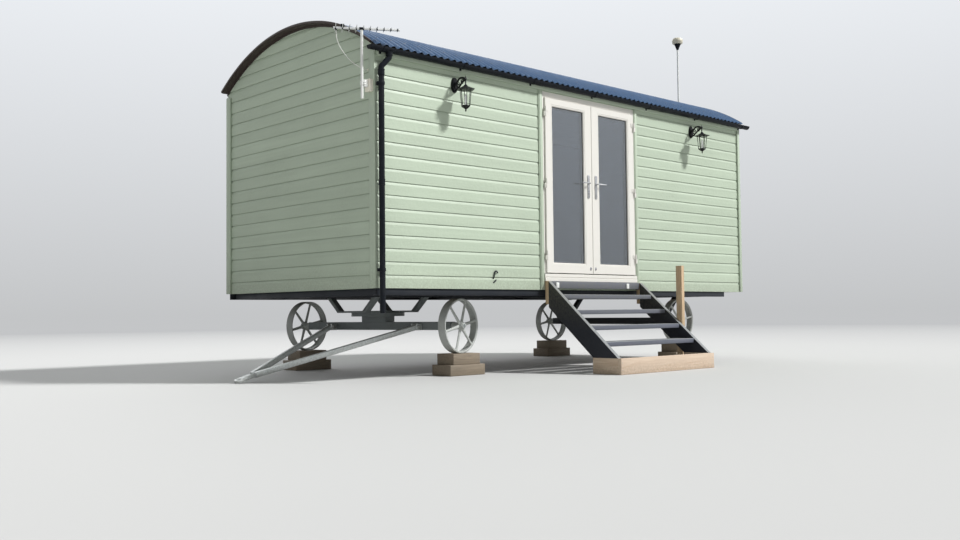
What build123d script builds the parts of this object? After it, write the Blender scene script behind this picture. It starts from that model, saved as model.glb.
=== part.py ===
from build123d import *
import os
from math import asin, cos, pi, radians, sin, sqrt, tan

# A shepherds hut on cast wheels. X runs along the hut, the doors face -Y, +Z is up.
# The sizes below are in millimetres, measured from the front left corner of the walls,
# at the underside of the walls. The finished pieces move so that the origin lies on the
# ground, in the middle of the whole footprint.

# Body
body_length = 5510
body_width = 2515
wall_thickness = 90
ground_clear = 790
eave_height = 2034
roof_rise = 391
floor_top = 85
floor_clearance = 0.3

# Roof
deck_thickness = 24
sheet_thickness = 20
end_overhang = 70
eave_overhang = 18
verge_width = 12
verge_drop = 8
fascia_height = 60
fascia_drop = 14
fascia_thickness = 20

# Rainwater goods
gutter_radius = 38
gutter_wall = 3
gutter_drop = 12
gutter_reach = 40
gutter_bracket_count = 6
gutter_bracket_width = 20
gutter_bracket_height = 13
gutter_bracket_drop = 24
gutter_bracket_depth = 11
pipe_radius = 25
pipe_x = 22
pipe_y = -46
pipe_bottom = -210
outlet_x = 98
swan_start = 78
swan_drop = 82
pipe_bend = 34
clip_low = 138
clip_drop = 328
clip_height = 28
clip_width = 66

# Corner trims
trim_width = 80
trim_thickness = 18
front_strip_width = 44

# Doorway
door_centre = 2739
frame_width = 1431
frame_bottom = 87
head_band = 82
frame_face = -5
frame_depth = 80
jamb_width = 23
stop_width = 50
sill_height = 74
sill_proud = 20
door_trim_width = 52
door_trim_thickness = 16
door_gap = 5
head_drop = 55
leaf_proud = 16
leaf_thickness = 60
outer_stile = 105
meeting_stile = 119
bottom_rail = 103
top_rail = 78
glass_thickness = 24
hinge_low = 337
hinge_drop = 198
hinge_half = 48
hinge_radius = 9
hinge_standoff = 10
hinge_flap = 38
hinge_plate_width = 21
hinge_leaf_width = 12
hinge_leaf_thickness = 5
pin_gap = 0.3
plate_offset = 58
plate_width = 32
plate_height = 245
plate_thickness = 8
plate_bottom = 935
lever_height = 1090
lever_reach = 128
lever_standoff = 34
lever_thickness = 15
lever_depth = 12
spindle_radius = 8

# Chassis
rail_height = 58
rail_width = 60
rail_inset = 15
rail_end_gap = 350
member_width = 70
bolster_half = 300

# Wheels and axles
axle_inset = 958
steer_angle = 10.9
wheel_radius = 254
wheel_width = 85
wheel_track = 2000
rim_thickness = 12
hub_radius = 38
hub_length = 116
spoke_count = 6
spoke_width = 30
spoke_turn = 12
spoke_depth = 20
spoke_inset = 3
spindle_end = 26
stub_radius = 20
stub_clearance = 0.3
wheel_rest_gap = 0.3
beam_size = 78
beam_end_gap = 20
hanger_offset = 760
hanger_width = 60
packer_layer = 100
packer_lower = (430, 260)
packer_upper = (330, 230)

# Turntable
turntable_radius = 262
turntable_plate = 18
turntable_z = -222
turntable_gap = 0.3
riser_width = 60
riser_top = 400
riser_bottom = 225
king_width = 150

# Drawbar
drawbar_length = 1760
drawbar_half = 560
drawbar_nose = 200
drawbar_rail = 45
drawbar_hinge_x = -85
drawbar_hinge_z = -344
drawbar_rest_gap = 0.5
cheek_thickness = 10
cheek_height = 64
cheek_gap = 1
rail_swing_gap = 8
knuckle_radius = 26
hinge_pin_radius = 10
nose_width = 90
nose_thickness = 25
eye_bore = 20
eye_radius = 42

# Steps
step_reach_left = 715.5
step_reach_right = 750.5
stringer_thickness = 45
stringer_depth = 194
step_top = 84
step_rise = 150
step_going = 175
step_post_depth = 58
step_post_drop = 140
tread_count = 4
tread_thickness = 44
tread_depth = 215
first_tread_drop = 132
top_board_thickness = 28
top_board_height = 70
base_board_height = 147
base_board_thickness = 45
base_front_lip = 36
base_side_length = 290
newel_width = 47
newel_depth = 70
newel_top = 248
newel_back = 497

# Wall lanterns
lantern_x = (881, 4520)
lantern_drop = 199
lantern_out = 152
backplate_width = 70
backplate_height = 142
backplate_thickness = 12
arm_radius = 7
arm_rise = 30
lantern_radius = 50
lantern_taper = 0.72
lantern_glass_drop = 81
lantern_glass_height = 130
lantern_cap_radius = 85
lantern_cap_height = 28
lantern_base_radius = 43
lantern_base_height = 27
lantern_neck_height = 93
lantern_neck_radius = 8
finial_height = 30
corner_bar_radius = 3
bar_gap = 0.3

# Aerials
aerial_mast_radius = 12
aerial_mast_x = -110
aerial_mast_y = 46
aerial_mast_length = 580
aerial_boom_rise = 141
aerial_boom_angle = -33
boom_back = 236
boom_front = 320
boom_size = 18
element_count = 10
element_radius = 4
element_long = 130
element_short = 50
bracket_height = 104
bracket_width = 70
bracket_rise = 68
cable_radius = 3.5
gland_radius = 9

# The cable's route, from the socket under the boom to the gland on the wall
cable_route = (
    (-288, 161.5, 2156),
    (-288, 161.5, 2100),
    (-270, 157, 2040),
    (-230, 148, 1978),
    (-174, 136, 1921),
    (-114, 122, 1880),
    (-60, 99, 1854),
    (-16, 99, 1854),
)

# Dome aerial
dome_mast_radius = 11
dome_mast_y = 933
dome_mast_out = 98
dome_mast_drop = 284
dome_mast_length = 1425
dome_radius = 70
dome_height = 80
dome_cone = 78
dome_bracket_rises = (50, 400)
dome_bracket_size = 40

# Values that follow from the sizes above
mid_y = body_width / 2
half_width = body_width / 2
arch_radius = (half_width**2 + roof_rise**2) / (2 * roof_rise)
arch_centre_z = eave_height + roof_rise - arch_radius
fascia_bottom = eave_height - fascia_drop - fascia_height
frame_top = eave_height - head_band
gutter_top = eave_height - gutter_drop
swan_top = gutter_top - swan_start
swan_bottom = swan_top - swan_drop
clip_heights = (clip_low, eave_height - clip_drop)
hinge_high = frame_top - hinge_drop
hinge_heights = (hinge_low, (hinge_low + hinge_high) / 2, hinge_high)
lantern_z = eave_height - lantern_drop
lantern_glass_top = lantern_z - lantern_glass_drop
aerial_boom_z = eave_height + aerial_boom_rise
aerial_mast_top = aerial_boom_z - boom_size / 2
aerial_mast_bottom = aerial_mast_top - aerial_mast_length
bracket_z = aerial_mast_bottom + bracket_rise
dome_mast_bottom = eave_height - dome_mast_drop
dome_mast_top = dome_mast_bottom + dome_mast_length
drawbar_join = drawbar_length - drawbar_nose
door_left_edge = door_centre - frame_width / 2
door_right_edge = door_centre + frame_width / 2
frame_back = frame_face + frame_depth
leaf_face = frame_face - leaf_proud
leaf_back = leaf_face + leaf_thickness
leaf_bottom = frame_bottom + sill_height + door_gap
leaf_top = frame_top - head_drop - door_gap
leaf_width = frame_width / 2 - jamb_width - 1.5 * door_gap
hinge_x = frame_width / 2 - jamb_width - door_gap / 2
hinge_y = leaf_face - hinge_standoff
ground_z = -ground_clear
packer_top = ground_z + 2 * packer_layer
axle_z = packer_top + wheel_rest_gap + wheel_radius
rear_axle_x = body_length - axle_inset
steer = Plane(
    origin=(axle_inset, mid_y, 0),
    x_dir=(cos(radians(steer_angle)), sin(radians(steer_angle)), 0),
    z_dir=(0, 0, 1),
)
straight = Plane(origin=(rear_axle_x, mid_y, 0), x_dir=(1, 0, 0), z_dir=(0, 0, 1))
drawbar_drop = drawbar_hinge_z - ground_z - drawbar_rest_gap - nose_thickness / 2
drawbar_tilt = asin(drawbar_drop / drawbar_length)

pieces = {}


def keep(name, part):
    """Store a finished piece under its own name."""
    part.label = name
    pieces[name] = part


def block(x0, x1, y0, y1, z0, z1, base=Plane.XY):
    """Add one squared block to the part being built."""
    with BuildSketch(base.offset(z0)) as outline:
        with Locations(((x0 + x1) / 2, (y0 + y1) / 2)):
            Rectangle(abs(x1 - x0), abs(y1 - y0))
    extrude(outline.sketch, amount=z1 - z0)


def arch_z(y, grow=0):
    """Height of the roof curve above a point y, grown outwards from the wall top."""
    return arch_centre_z + sqrt((arch_radius + grow) ** 2 - (y - mid_y) ** 2)


def arch_band(x0, x1, inner, outer, reach):
    """Add a curved band of roof, from x0 to x1, between two offsets of the wall's curve."""
    y0 = -reach
    y1 = body_width + reach
    with BuildSketch(Plane.YZ.offset(x0)) as outline:
        with BuildLine():
            low = ThreePointArc(*[(y, arch_z(y, inner)) for y in (y0, mid_y, y1)])
            high = ThreePointArc(*[(y, arch_z(y, outer)) for y in (y0, mid_y, y1)])
            Line(low @ 0, high @ 0)
            Line(low @ 1, high @ 1)
        make_face()
    extrude(outline.sketch, amount=x1 - x0)


# Walls
with BuildPart() as front_wall_left:
    block(wall_thickness, door_left_edge, 0, wall_thickness, 0, eave_height)
keep("front_wall_left", front_wall_left.part)

with BuildPart() as front_wall_right:
    block(door_right_edge, body_length - wall_thickness, 0, wall_thickness, 0, eave_height)
keep("front_wall_right", front_wall_right.part)

with BuildPart() as front_wall_head:
    block(door_left_edge, door_right_edge, 0, wall_thickness, frame_top, eave_height)
keep("front_wall_head", front_wall_head.part)

with BuildPart() as front_wall_sill:
    block(door_left_edge, door_right_edge, 0, wall_thickness, 0, frame_bottom)
keep("front_wall_sill", front_wall_sill.part)

with BuildPart() as rear_wall:
    block(
        wall_thickness, body_length - wall_thickness, body_width - wall_thickness, body_width,
        0, eave_height,
    )
keep("rear_wall", rear_wall.part)

for name, x0 in (("left_end_wall", 0), ("right_end_wall", body_length - wall_thickness)):
    with BuildPart() as end_wall:
        with BuildSketch(Plane.YZ.offset(x0)):
            with BuildLine():
                arch = ThreePointArc(
                    (0, eave_height), (mid_y, eave_height + roof_rise), (body_width, eave_height)
                )
                Polyline(arch @ 1, (body_width, 0), (0, 0), arch @ 0)
            make_face()
        extrude(amount=wall_thickness)
    keep(name, end_wall.part)

with BuildPart() as floor_panel:
    block(
        wall_thickness + floor_clearance,
        body_length - wall_thickness - floor_clearance,
        wall_thickness + floor_clearance,
        body_width - wall_thickness - floor_clearance,
        0,
        floor_top,
    )
keep("floor", floor_panel.part)

# Roof
roof_x0 = verge_width - end_overhang
roof_x1 = body_length + end_overhang - verge_width
sheet_top = deck_thickness + sheet_thickness
with BuildPart() as roof_deck:
    arch_band(roof_x0, roof_x1, 0, deck_thickness, eave_overhang)
keep("roof_deck", roof_deck.part)

with BuildPart() as roof_sheet:
    arch_band(roof_x0, roof_x1, deck_thickness, sheet_top, eave_overhang)
keep("roof_sheet", roof_sheet.part)

with BuildPart() as roof_verges:
    for x0 in (roof_x0 - verge_width, roof_x1):
        arch_band(x0, x0 + verge_width, -verge_drop, sheet_top, eave_overhang)
keep("roof_verges", roof_verges.part)

with BuildPart() as eaves_fascias:
    for y0, y1 in ((-fascia_thickness, 0), (body_width, body_width + fascia_thickness)):
        block(0, body_length, y0, y1, fascia_bottom, fascia_bottom + fascia_height)
keep("eaves_fascias", eaves_fascias.part)

# Rainwater goods on the front
gutter_y = -fascia_thickness - gutter_radius
with BuildPart() as gutter:
    with BuildSketch(Plane.YZ.offset(-end_overhang - gutter_reach)):
        with Locations((gutter_y, gutter_top)):
            Circle(gutter_radius)
            Circle(gutter_radius - gutter_wall, mode=Mode.SUBTRACT)
            with Locations((0, gutter_radius)):
                Rectangle(2 * gutter_radius, 2 * gutter_radius, mode=Mode.SUBTRACT)
    extrude(amount=body_length + 2 * (end_overhang + gutter_reach))
    with BuildSketch(Plane.YZ.offset(-end_overhang - gutter_reach)):
        with Locations((gutter_y, gutter_top)):
            Circle(gutter_radius)
            with Locations((0, gutter_radius)):
                Rectangle(2 * gutter_radius, 2 * gutter_radius, mode=Mode.SUBTRACT)
    extrude(amount=gutter_wall)
    with BuildSketch(Plane.YZ.offset(body_length + end_overhang + gutter_reach - gutter_wall)):
        with Locations((gutter_y, gutter_top)):
            Circle(gutter_radius)
            with Locations((0, gutter_radius)):
                Rectangle(2 * gutter_radius, 2 * gutter_radius, mode=Mode.SUBTRACT)
    extrude(amount=gutter_wall)
    bracket_top = gutter_top - gutter_bracket_drop
    for count in range(gutter_bracket_count):
        x = body_length * (count + 0.5) / gutter_bracket_count
        block(
            x - gutter_bracket_width / 2, x + gutter_bracket_width / 2,
            -fascia_thickness - gutter_bracket_depth, -fascia_thickness,
            bracket_top - gutter_bracket_height, bracket_top,
        )
keep("gutter", gutter.part)

with BuildPart() as downpipe:
    with BuildLine() as pipe_path:
        FilletPolyline(
            (outlet_x, gutter_y, gutter_top - gutter_radius),
            (outlet_x, gutter_y, swan_top),
            (pipe_x, pipe_y, swan_bottom),
            (pipe_x, pipe_y, pipe_bottom),
            radius=pipe_bend,
        )
    with BuildSketch(Plane(origin=pipe_path.line @ 0, z_dir=pipe_path.line % 0)):
        Circle(pipe_radius)
    sweep()
keep("downpipe", downpipe.part)

with BuildPart() as downpipe_clips:
    for z in clip_heights:
        block(pipe_x - clip_width / 2, pipe_x + clip_width / 2, pipe_y, 0, z, z + clip_height)
        with BuildSketch(Plane.XY.offset(z)):
            with Locations((pipe_x, pipe_y)):
                Circle(pipe_radius + gutter_wall)
        extrude(amount=clip_height)
        with BuildSketch(Plane.XY.offset(z)):
            with Locations((pipe_x, pipe_y)):
                Circle(pipe_radius + pin_gap)
        extrude(amount=clip_height, mode=Mode.SUBTRACT)
keep("downpipe_clips", downpipe_clips.part)

# Corner trims
with BuildPart() as corner_trims:
    for x0, x1 in ((-trim_thickness, 0), (body_length, body_length + trim_thickness)):
        for y0, y1 in ((0, trim_width), (body_width - trim_width, body_width)):
            block(x0, x1, y0, y1, 0, eave_height - 30)
keep("corner_trims", corner_trims.part)

with BuildPart() as front_corner_strip:
    block(body_length - front_strip_width, body_length, -trim_thickness, 0, 0, fascia_bottom)
keep("front_corner_strip", front_corner_strip.part)

# Door frame, with a stop behind the leaves
with BuildPart() as door_jambs:
    for side in (-1, 1):
        outer = door_centre + side * frame_width / 2
        block(outer - side * jamb_width, outer, frame_face, frame_back, frame_bottom + sill_height, frame_top)
        block(
            outer - side * stop_width,
            outer,
            leaf_back + door_gap,
            frame_back,
            frame_bottom + sill_height,
            frame_top,
        )
keep("door_jambs", door_jambs.part)

jamb_inner = frame_width / 2 - jamb_width
stop_inner = frame_width / 2 - stop_width
with BuildPart() as door_head:
    block(
        door_centre - jamb_inner, door_centre + jamb_inner, frame_face, leaf_back + door_gap,
        frame_top - head_drop, frame_top,
    )
    block(
        door_centre - stop_inner, door_centre + stop_inner, leaf_back + door_gap, frame_back,
        frame_top - head_drop - (stop_width - jamb_width), frame_top,
    )
keep("door_head", door_head.part)

with BuildPart() as door_sill:
    block(
        door_left_edge, door_right_edge, frame_face - sill_proud, frame_back,
        frame_bottom, frame_bottom + sill_height,
    )
keep("door_sill", door_sill.part)

with BuildPart() as door_trims:
    for side in (-1, 1):
        outer = door_centre + side * frame_width / 2
        block(outer, outer + side * door_trim_width, -door_trim_thickness, 0, 0, fascia_bottom)
keep("door_trims", door_trims.part)

# Door leaves, hinges, handle plates and levers
with BuildPart() as hinge_plates:
    for side in (-1, 1):
        pivot = door_centre + side * hinge_x
        for z in hinge_heights:
            block(
                pivot, pivot + side * hinge_plate_width, hinge_y - hinge_radius / 2, frame_face,
                z - hinge_half, z,
            )
            with BuildSketch(Plane.XY.offset(z - hinge_half)):
                with Locations((pivot, hinge_y)):
                    Circle(hinge_radius)
            extrude(amount=hinge_half)
keep("door_hinge_plates", hinge_plates.part)

for side, name in ((-1, "left"), (1, "right")):
    outer = door_centre + side * (frame_width / 2 - jamb_width - door_gap)
    inner = outer - side * leaf_width
    pivot = door_centre + side * hinge_x
    with BuildPart() as leaf:
        block(outer, inner, leaf_face, leaf_back, leaf_bottom, leaf_top)
        with BuildSketch(Plane.XY.offset(leaf_bottom + bottom_rail)):
            pane_x0 = outer - side * outer_stile
            pane_x1 = inner + side * meeting_stile
            with Locations(((pane_x0 + pane_x1) / 2, (leaf_face + leaf_back) / 2)):
                Rectangle(abs(pane_x1 - pane_x0), 2 * leaf_thickness)
        extrude(amount=leaf_top - leaf_bottom - bottom_rail - top_rail, mode=Mode.SUBTRACT)
    keep("door_leaf_" + name, leaf.part)

    pane_y = (leaf_face + leaf_back) / 2
    with BuildPart() as pane:
        block(
            pane_x0, pane_x1, pane_y - glass_thickness / 2, pane_y + glass_thickness / 2,
            leaf_bottom + bottom_rail, leaf_top - top_rail,
        )
    keep("door_glass_" + name, pane.part)

    with BuildPart() as leaf_fittings:
        for z in hinge_heights:
            z0 = z + pin_gap
            z1 = z + hinge_half
            block(pivot, pivot - side * hinge_leaf_width, hinge_y - hinge_radius / 2, leaf_face, z0, z1)
            block(pivot, pivot - side * hinge_flap, leaf_face - hinge_leaf_thickness, leaf_face, z0, z1)
            with BuildSketch(Plane.XY.offset(z + pin_gap)):
                with Locations((pivot, hinge_y)):
                    Circle(hinge_radius)
            extrude(amount=hinge_half - pin_gap)
        plate_x = door_centre + side * plate_offset
        block(
            plate_x - plate_width / 2, plate_x + plate_width / 2, leaf_face - plate_thickness, leaf_face,
            plate_bottom, plate_bottom + plate_height,
        )
    keep("door_fittings_" + name, leaf_fittings.part)

    plate_face = leaf_face - plate_thickness
    lever_y = plate_face - lever_standoff
    with BuildPart() as lever:
        with BuildSketch(Plane.XZ.offset(-(plate_face - pin_gap))):
            with Locations((plate_x, lever_height)):
                Circle(spindle_radius)
        extrude(amount=lever_standoff - pin_gap)
        block(
            plate_x - side * lever_thickness / 2, plate_x + side * lever_reach, lever_y,
            lever_y + lever_depth, lever_height - lever_thickness / 2, lever_height + lever_thickness / 2,
        )
    keep("door_lever_" + name, lever.part)

# Chassis
with BuildPart() as chassis_rails:
    for y0 in (rail_inset, body_width - rail_inset - rail_width):
        block(rail_inset, body_length - rail_end_gap, y0, y0 + rail_width, -rail_height, 0)
keep("chassis_rails", chassis_rails.part)

member_places = (
    rail_inset + member_width,
    axle_inset - bolster_half,
    axle_inset + bolster_half,
    body_length / 2,
    rear_axle_x - bolster_half,
    rear_axle_x + bolster_half,
)
member_y0 = rail_inset + rail_width
with BuildPart() as chassis_members:
    for x in member_places:
        block(x - member_width / 2, x + member_width / 2, member_y0, body_width - member_y0, -rail_height, 0)
keep("chassis_members", chassis_members.part)

# Upper half of the turntable, carried below two of the cross members
upper_z0 = turntable_z + turntable_gap / 2
riser_places = (-bolster_half, bolster_half)
with BuildPart() as turntable_upper:
    with BuildSketch(Plane.XY.offset(upper_z0)):
        with Locations((axle_inset, mid_y)):
            Circle(turntable_radius)
    extrude(amount=turntable_plate)
    block(
        axle_inset - bolster_half - member_width / 2, axle_inset + bolster_half + member_width / 2,
        mid_y - riser_bottom, mid_y + riser_bottom, upper_z0 + turntable_plate,
        upper_z0 + 2 * turntable_plate,
    )
    for x in riser_places:
        for side in (-1, 1):
            with BuildSketch(Plane.YZ.offset(axle_inset + x - riser_width / 2)):
                with BuildLine():
                    Polyline(
                        (mid_y + side * riser_bottom, upper_z0 + turntable_plate),
                        (mid_y + side * riser_top, -rail_height),
                        (mid_y + side * (riser_top - riser_width), -rail_height),
                        (mid_y + side * (riser_bottom - riser_width), upper_z0 + turntable_plate),
                        close=True,
                    )
                make_face()
            extrude(amount=riser_width)
keep("turntable_upper", turntable_upper.part)

# Axles: a squared beam with a round stub at each end
beam_half = wheel_track / 2 - wheel_width / 2 - beam_end_gap
stub_half = wheel_track / 2 + hub_length / 2 + spindle_end / 2


def axle_beam(base):
    """Add one axle on a plane whose origin is above the middle of the axle."""
    block(-beam_size / 2, beam_size / 2, -beam_half, beam_half, axle_z - beam_size / 2, axle_z + beam_size / 2, base)
    across = Plane(origin=base.from_local_coords((0, -stub_half, axle_z)), x_dir=base.x_dir, z_dir=base.y_dir)
    with BuildSketch(across) as stub:
        Circle(stub_radius)
    extrude(stub.sketch, amount=2 * stub_half)


with BuildPart() as front_axle:
    axle_beam(steer)
    block(
        -king_width / 2, king_width / 2, -king_width, king_width, axle_z + beam_size / 2,
        turntable_z - turntable_gap / 2 - turntable_plate, steer,
    )
    with BuildSketch(steer.offset(turntable_z - turntable_gap / 2 - turntable_plate)):
        Circle(turntable_radius)
    extrude(amount=turntable_plate)
keep("front_axle_beam", front_axle.part)

cheek_inner = drawbar_rail / 2 + cheek_gap
with BuildPart() as drawbar_brackets:
    for side in (-1, 1):
        for edge in (-1, 1):
            y0 = side * drawbar_half + edge * cheek_inner
            block(
                drawbar_hinge_x - cheek_height / 2, -beam_size / 2, y0, y0 + edge * cheek_thickness,
                drawbar_hinge_z - cheek_height / 2, drawbar_hinge_z + cheek_height / 2, steer,
            )
        pin_start = steer.from_local_coords(
            (drawbar_hinge_x, side * drawbar_half - cheek_inner - cheek_thickness, drawbar_hinge_z)
        )
        with BuildSketch(Plane(origin=pin_start, x_dir=steer.x_dir, z_dir=steer.y_dir)):
            Circle(hinge_pin_radius)
        extrude(amount=2 * (cheek_inner + cheek_thickness))
keep("drawbar_brackets", drawbar_brackets.part)

with BuildPart() as rear_axle:
    axle_beam(straight)
    for side in (-1, 1):
        for x in (-bolster_half, bolster_half):
            with BuildSketch(Plane.XZ.offset(-(mid_y + side * hanger_offset - hanger_width / 2))):
                with BuildLine():
                    Polyline(
                        (rear_axle_x - beam_size / 2, axle_z - beam_size / 2),
                        (rear_axle_x + beam_size / 2, axle_z - beam_size / 2),
                        (rear_axle_x + bolster_half + riser_width / 2, -rail_height),
                        (rear_axle_x + bolster_half - riser_width / 2, -rail_height),
                        (rear_axle_x, axle_z),
                        (rear_axle_x - bolster_half + riser_width / 2, -rail_height),
                        (rear_axle_x - bolster_half - riser_width / 2, -rail_height),
                        close=True,
                    )
                make_face()
            extrude(amount=-hanger_width)
keep("rear_axle", rear_axle.part)

# Wheels: rim, hub and tapered spokes in one casting
wheel_spots = (
    ("wheel_front_left", steer, -1),
    ("wheel_front_right", steer, 1),
    ("wheel_rear_left", straight, -1),
    ("wheel_rear_right", straight, 1),
)
for name, base, side in wheel_spots:
    hub_start = side * wheel_track / 2 - hub_length / 2
    face = Plane(
        origin=base.from_local_coords((0, hub_start, axle_z)), x_dir=base.x_dir, z_dir=base.y_dir
    )
    rim_in = (hub_length - wheel_width) / 2
    spoke_middle = hub_length / 2 + side * (wheel_width / 2 - spoke_inset - spoke_depth / 2)
    with BuildSketch() as spoke:
        with BuildLine():
            Polyline(
                (hub_radius / 2, -spoke_width / 2),
                (wheel_radius - rim_thickness / 2, -spoke_width / 3),
                (wheel_radius - rim_thickness / 2, spoke_width / 3),
                (hub_radius / 2, spoke_width / 2),
                close=True,
            )
        make_face()
    with BuildPart() as wheel:
        with BuildSketch(face.offset(rim_in)):
            Circle(wheel_radius)
            Circle(wheel_radius - rim_thickness, mode=Mode.SUBTRACT)
        extrude(amount=wheel_width)
        with BuildSketch(face):
            Circle(hub_radius)
        extrude(amount=hub_length)
        with BuildSketch(face.offset(spoke_middle - spoke_depth / 2)):
            with PolarLocations(0, spoke_count, start_angle=-spoke_turn):
                add(spoke.sketch)
        extrude(amount=spoke_depth)
        with BuildSketch(face):
            Circle(stub_radius + stub_clearance)
        extrude(amount=hub_length, mode=Mode.SUBTRACT)
    keep(name, wheel.part)

# Timber packers that bring every wheel to one level
wheel_feet = [
    base.from_local_coords((0, side * wheel_track / 2, 0)) for name, base, side in wheel_spots
]
for name, size, z0 in (
    ("wheel_packers_lower", packer_lower, ground_z),
    ("wheel_packers_upper", packer_upper, ground_z + packer_layer),
):
    with BuildPart() as packers:
        for foot in wheel_feet:
            block(
                foot.X - size[0] / 2, foot.X + size[0] / 2, foot.Y - size[1] / 2, foot.Y + size[1] / 2,
                z0, z0 + packer_layer,
            )
    keep(name, packers.part)

# Drawbar, in the sloping plane through its hinge line and its nose
slope = Plane(
    origin=steer.from_local_coords((drawbar_hinge_x, 0, drawbar_hinge_z)),
    x_dir=steer.x_dir * cos(drawbar_tilt) + Vector(0, 0, 1) * sin(drawbar_tilt),
    z_dir=Vector(0, 0, 1) * cos(drawbar_tilt) - steer.x_dir * sin(drawbar_tilt),
)
knuckle_reach = cheek_height / 2 + rail_swing_gap
for side, name in ((-1, "left"), (1, "right")):
    with BuildPart() as rail:
        with BuildSketch(slope.offset(-drawbar_rail / 2)):
            with BuildLine():
                Polyline(
                    (0, side * (drawbar_half + drawbar_rail / 2)),
                    (-knuckle_reach, side * (drawbar_half + drawbar_rail / 2)),
                    (-drawbar_join, side * nose_width / 2),
                    (-drawbar_join, side * (nose_width / 2 - drawbar_rail)),
                    (-knuckle_reach, side * (drawbar_half - drawbar_rail / 2)),
                    (0, side * (drawbar_half - drawbar_rail / 2)),
                    close=True,
                )
            make_face()
        extrude(amount=drawbar_rail)
        knuckle_at = slope.from_local_coords((0, side * drawbar_half - drawbar_rail / 2, 0))
        with BuildSketch(Plane(origin=knuckle_at, x_dir=slope.x_dir, z_dir=slope.y_dir)):
            Circle(knuckle_radius)
        extrude(amount=drawbar_rail)
        with BuildSketch(Plane(origin=knuckle_at, x_dir=slope.x_dir, z_dir=slope.y_dir)):
            Circle(hinge_pin_radius + stub_clearance)
        extrude(amount=drawbar_rail, mode=Mode.SUBTRACT)
    keep("drawbar_rail_" + name, rail.part)

with BuildPart() as towing_eye:
    with BuildSketch(slope.offset(-nose_thickness / 2)):
        with Locations((-drawbar_length + eye_radius, 0)):
            Circle(eye_radius)
        with BuildLine():
            Polyline(
                (-drawbar_join, -nose_width / 2),
                (-drawbar_join, nose_width / 2),
                (-drawbar_length + eye_radius, eye_radius),
                (-drawbar_length + eye_radius, -eye_radius),
                close=True,
            )
        make_face()
        with Locations((-drawbar_length + eye_radius, 0)):
            Circle(eye_bore, mode=Mode.SUBTRACT)
    extrude(amount=nose_thickness)
keep("towing_eye", towing_eye.part)

# Steps
step_x0 = door_centre - step_reach_left
step_x1 = door_centre + step_reach_right
stringer_foot = ground_z + base_board_height
pitch_slope = step_rise / step_going
stringer_plumb = stringer_depth * sqrt(1 + pitch_slope**2)
front_reach = (step_top - stringer_foot) / pitch_slope
back_reach = (step_top - stringer_plumb - stringer_foot) / pitch_slope
post_back = -door_trim_thickness
for name, x0 in (("step_stringer_left", step_x0), ("step_stringer_right", step_x1 - stringer_thickness)):
    with BuildPart() as stringer:
        block(x0, x0 + stringer_thickness, -step_post_depth, post_back, -step_post_drop, step_top)
        with BuildSketch(Plane.YZ.offset(x0)):
            with BuildLine():
                Polyline(
                    (-step_post_depth, step_top),
                    (-step_post_depth - front_reach, stringer_foot),
                    (-step_post_depth - back_reach, stringer_foot),
                    (-step_post_depth, step_top - stringer_plumb),
                    close=True,
                )
            make_face()
        extrude(amount=stringer_thickness)
    keep(name, stringer.part)

tread_x0 = step_x0 + stringer_thickness
tread_x1 = step_x1 - stringer_thickness
with BuildPart() as step_treads:
    for count in range(tread_count):
        tread_top = step_top - first_tread_drop - count * step_rise
        nose = -step_post_depth - (step_top - tread_top) / pitch_slope
        block(tread_x0, tread_x1, nose, nose + tread_depth, tread_top - tread_thickness, tread_top)
    board_y = -step_post_depth
    block(
        tread_x0, tread_x1, board_y, board_y + top_board_thickness, step_top - top_board_height, step_top,
    )
keep("step_treads", step_treads.part)

base_front_y = -step_post_depth - front_reach - base_front_lip
side_y1 = base_front_y + base_board_thickness + base_side_length
with BuildPart() as step_base:
    block(step_x0, step_x1, base_front_y, base_front_y + base_board_thickness, ground_z, stringer_foot)
    for x0 in (step_x0, step_x1 - base_board_thickness):
        block(x0, x0 + base_board_thickness, base_front_y, side_y1, ground_z, stringer_foot)
keep("step_base", step_base.part)

with BuildPart() as newel_post:
    block(step_x1, step_x1 + newel_width, -newel_back - newel_depth, -newel_back, ground_z, newel_top)
keep("newel_post", newel_post.part)

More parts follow.
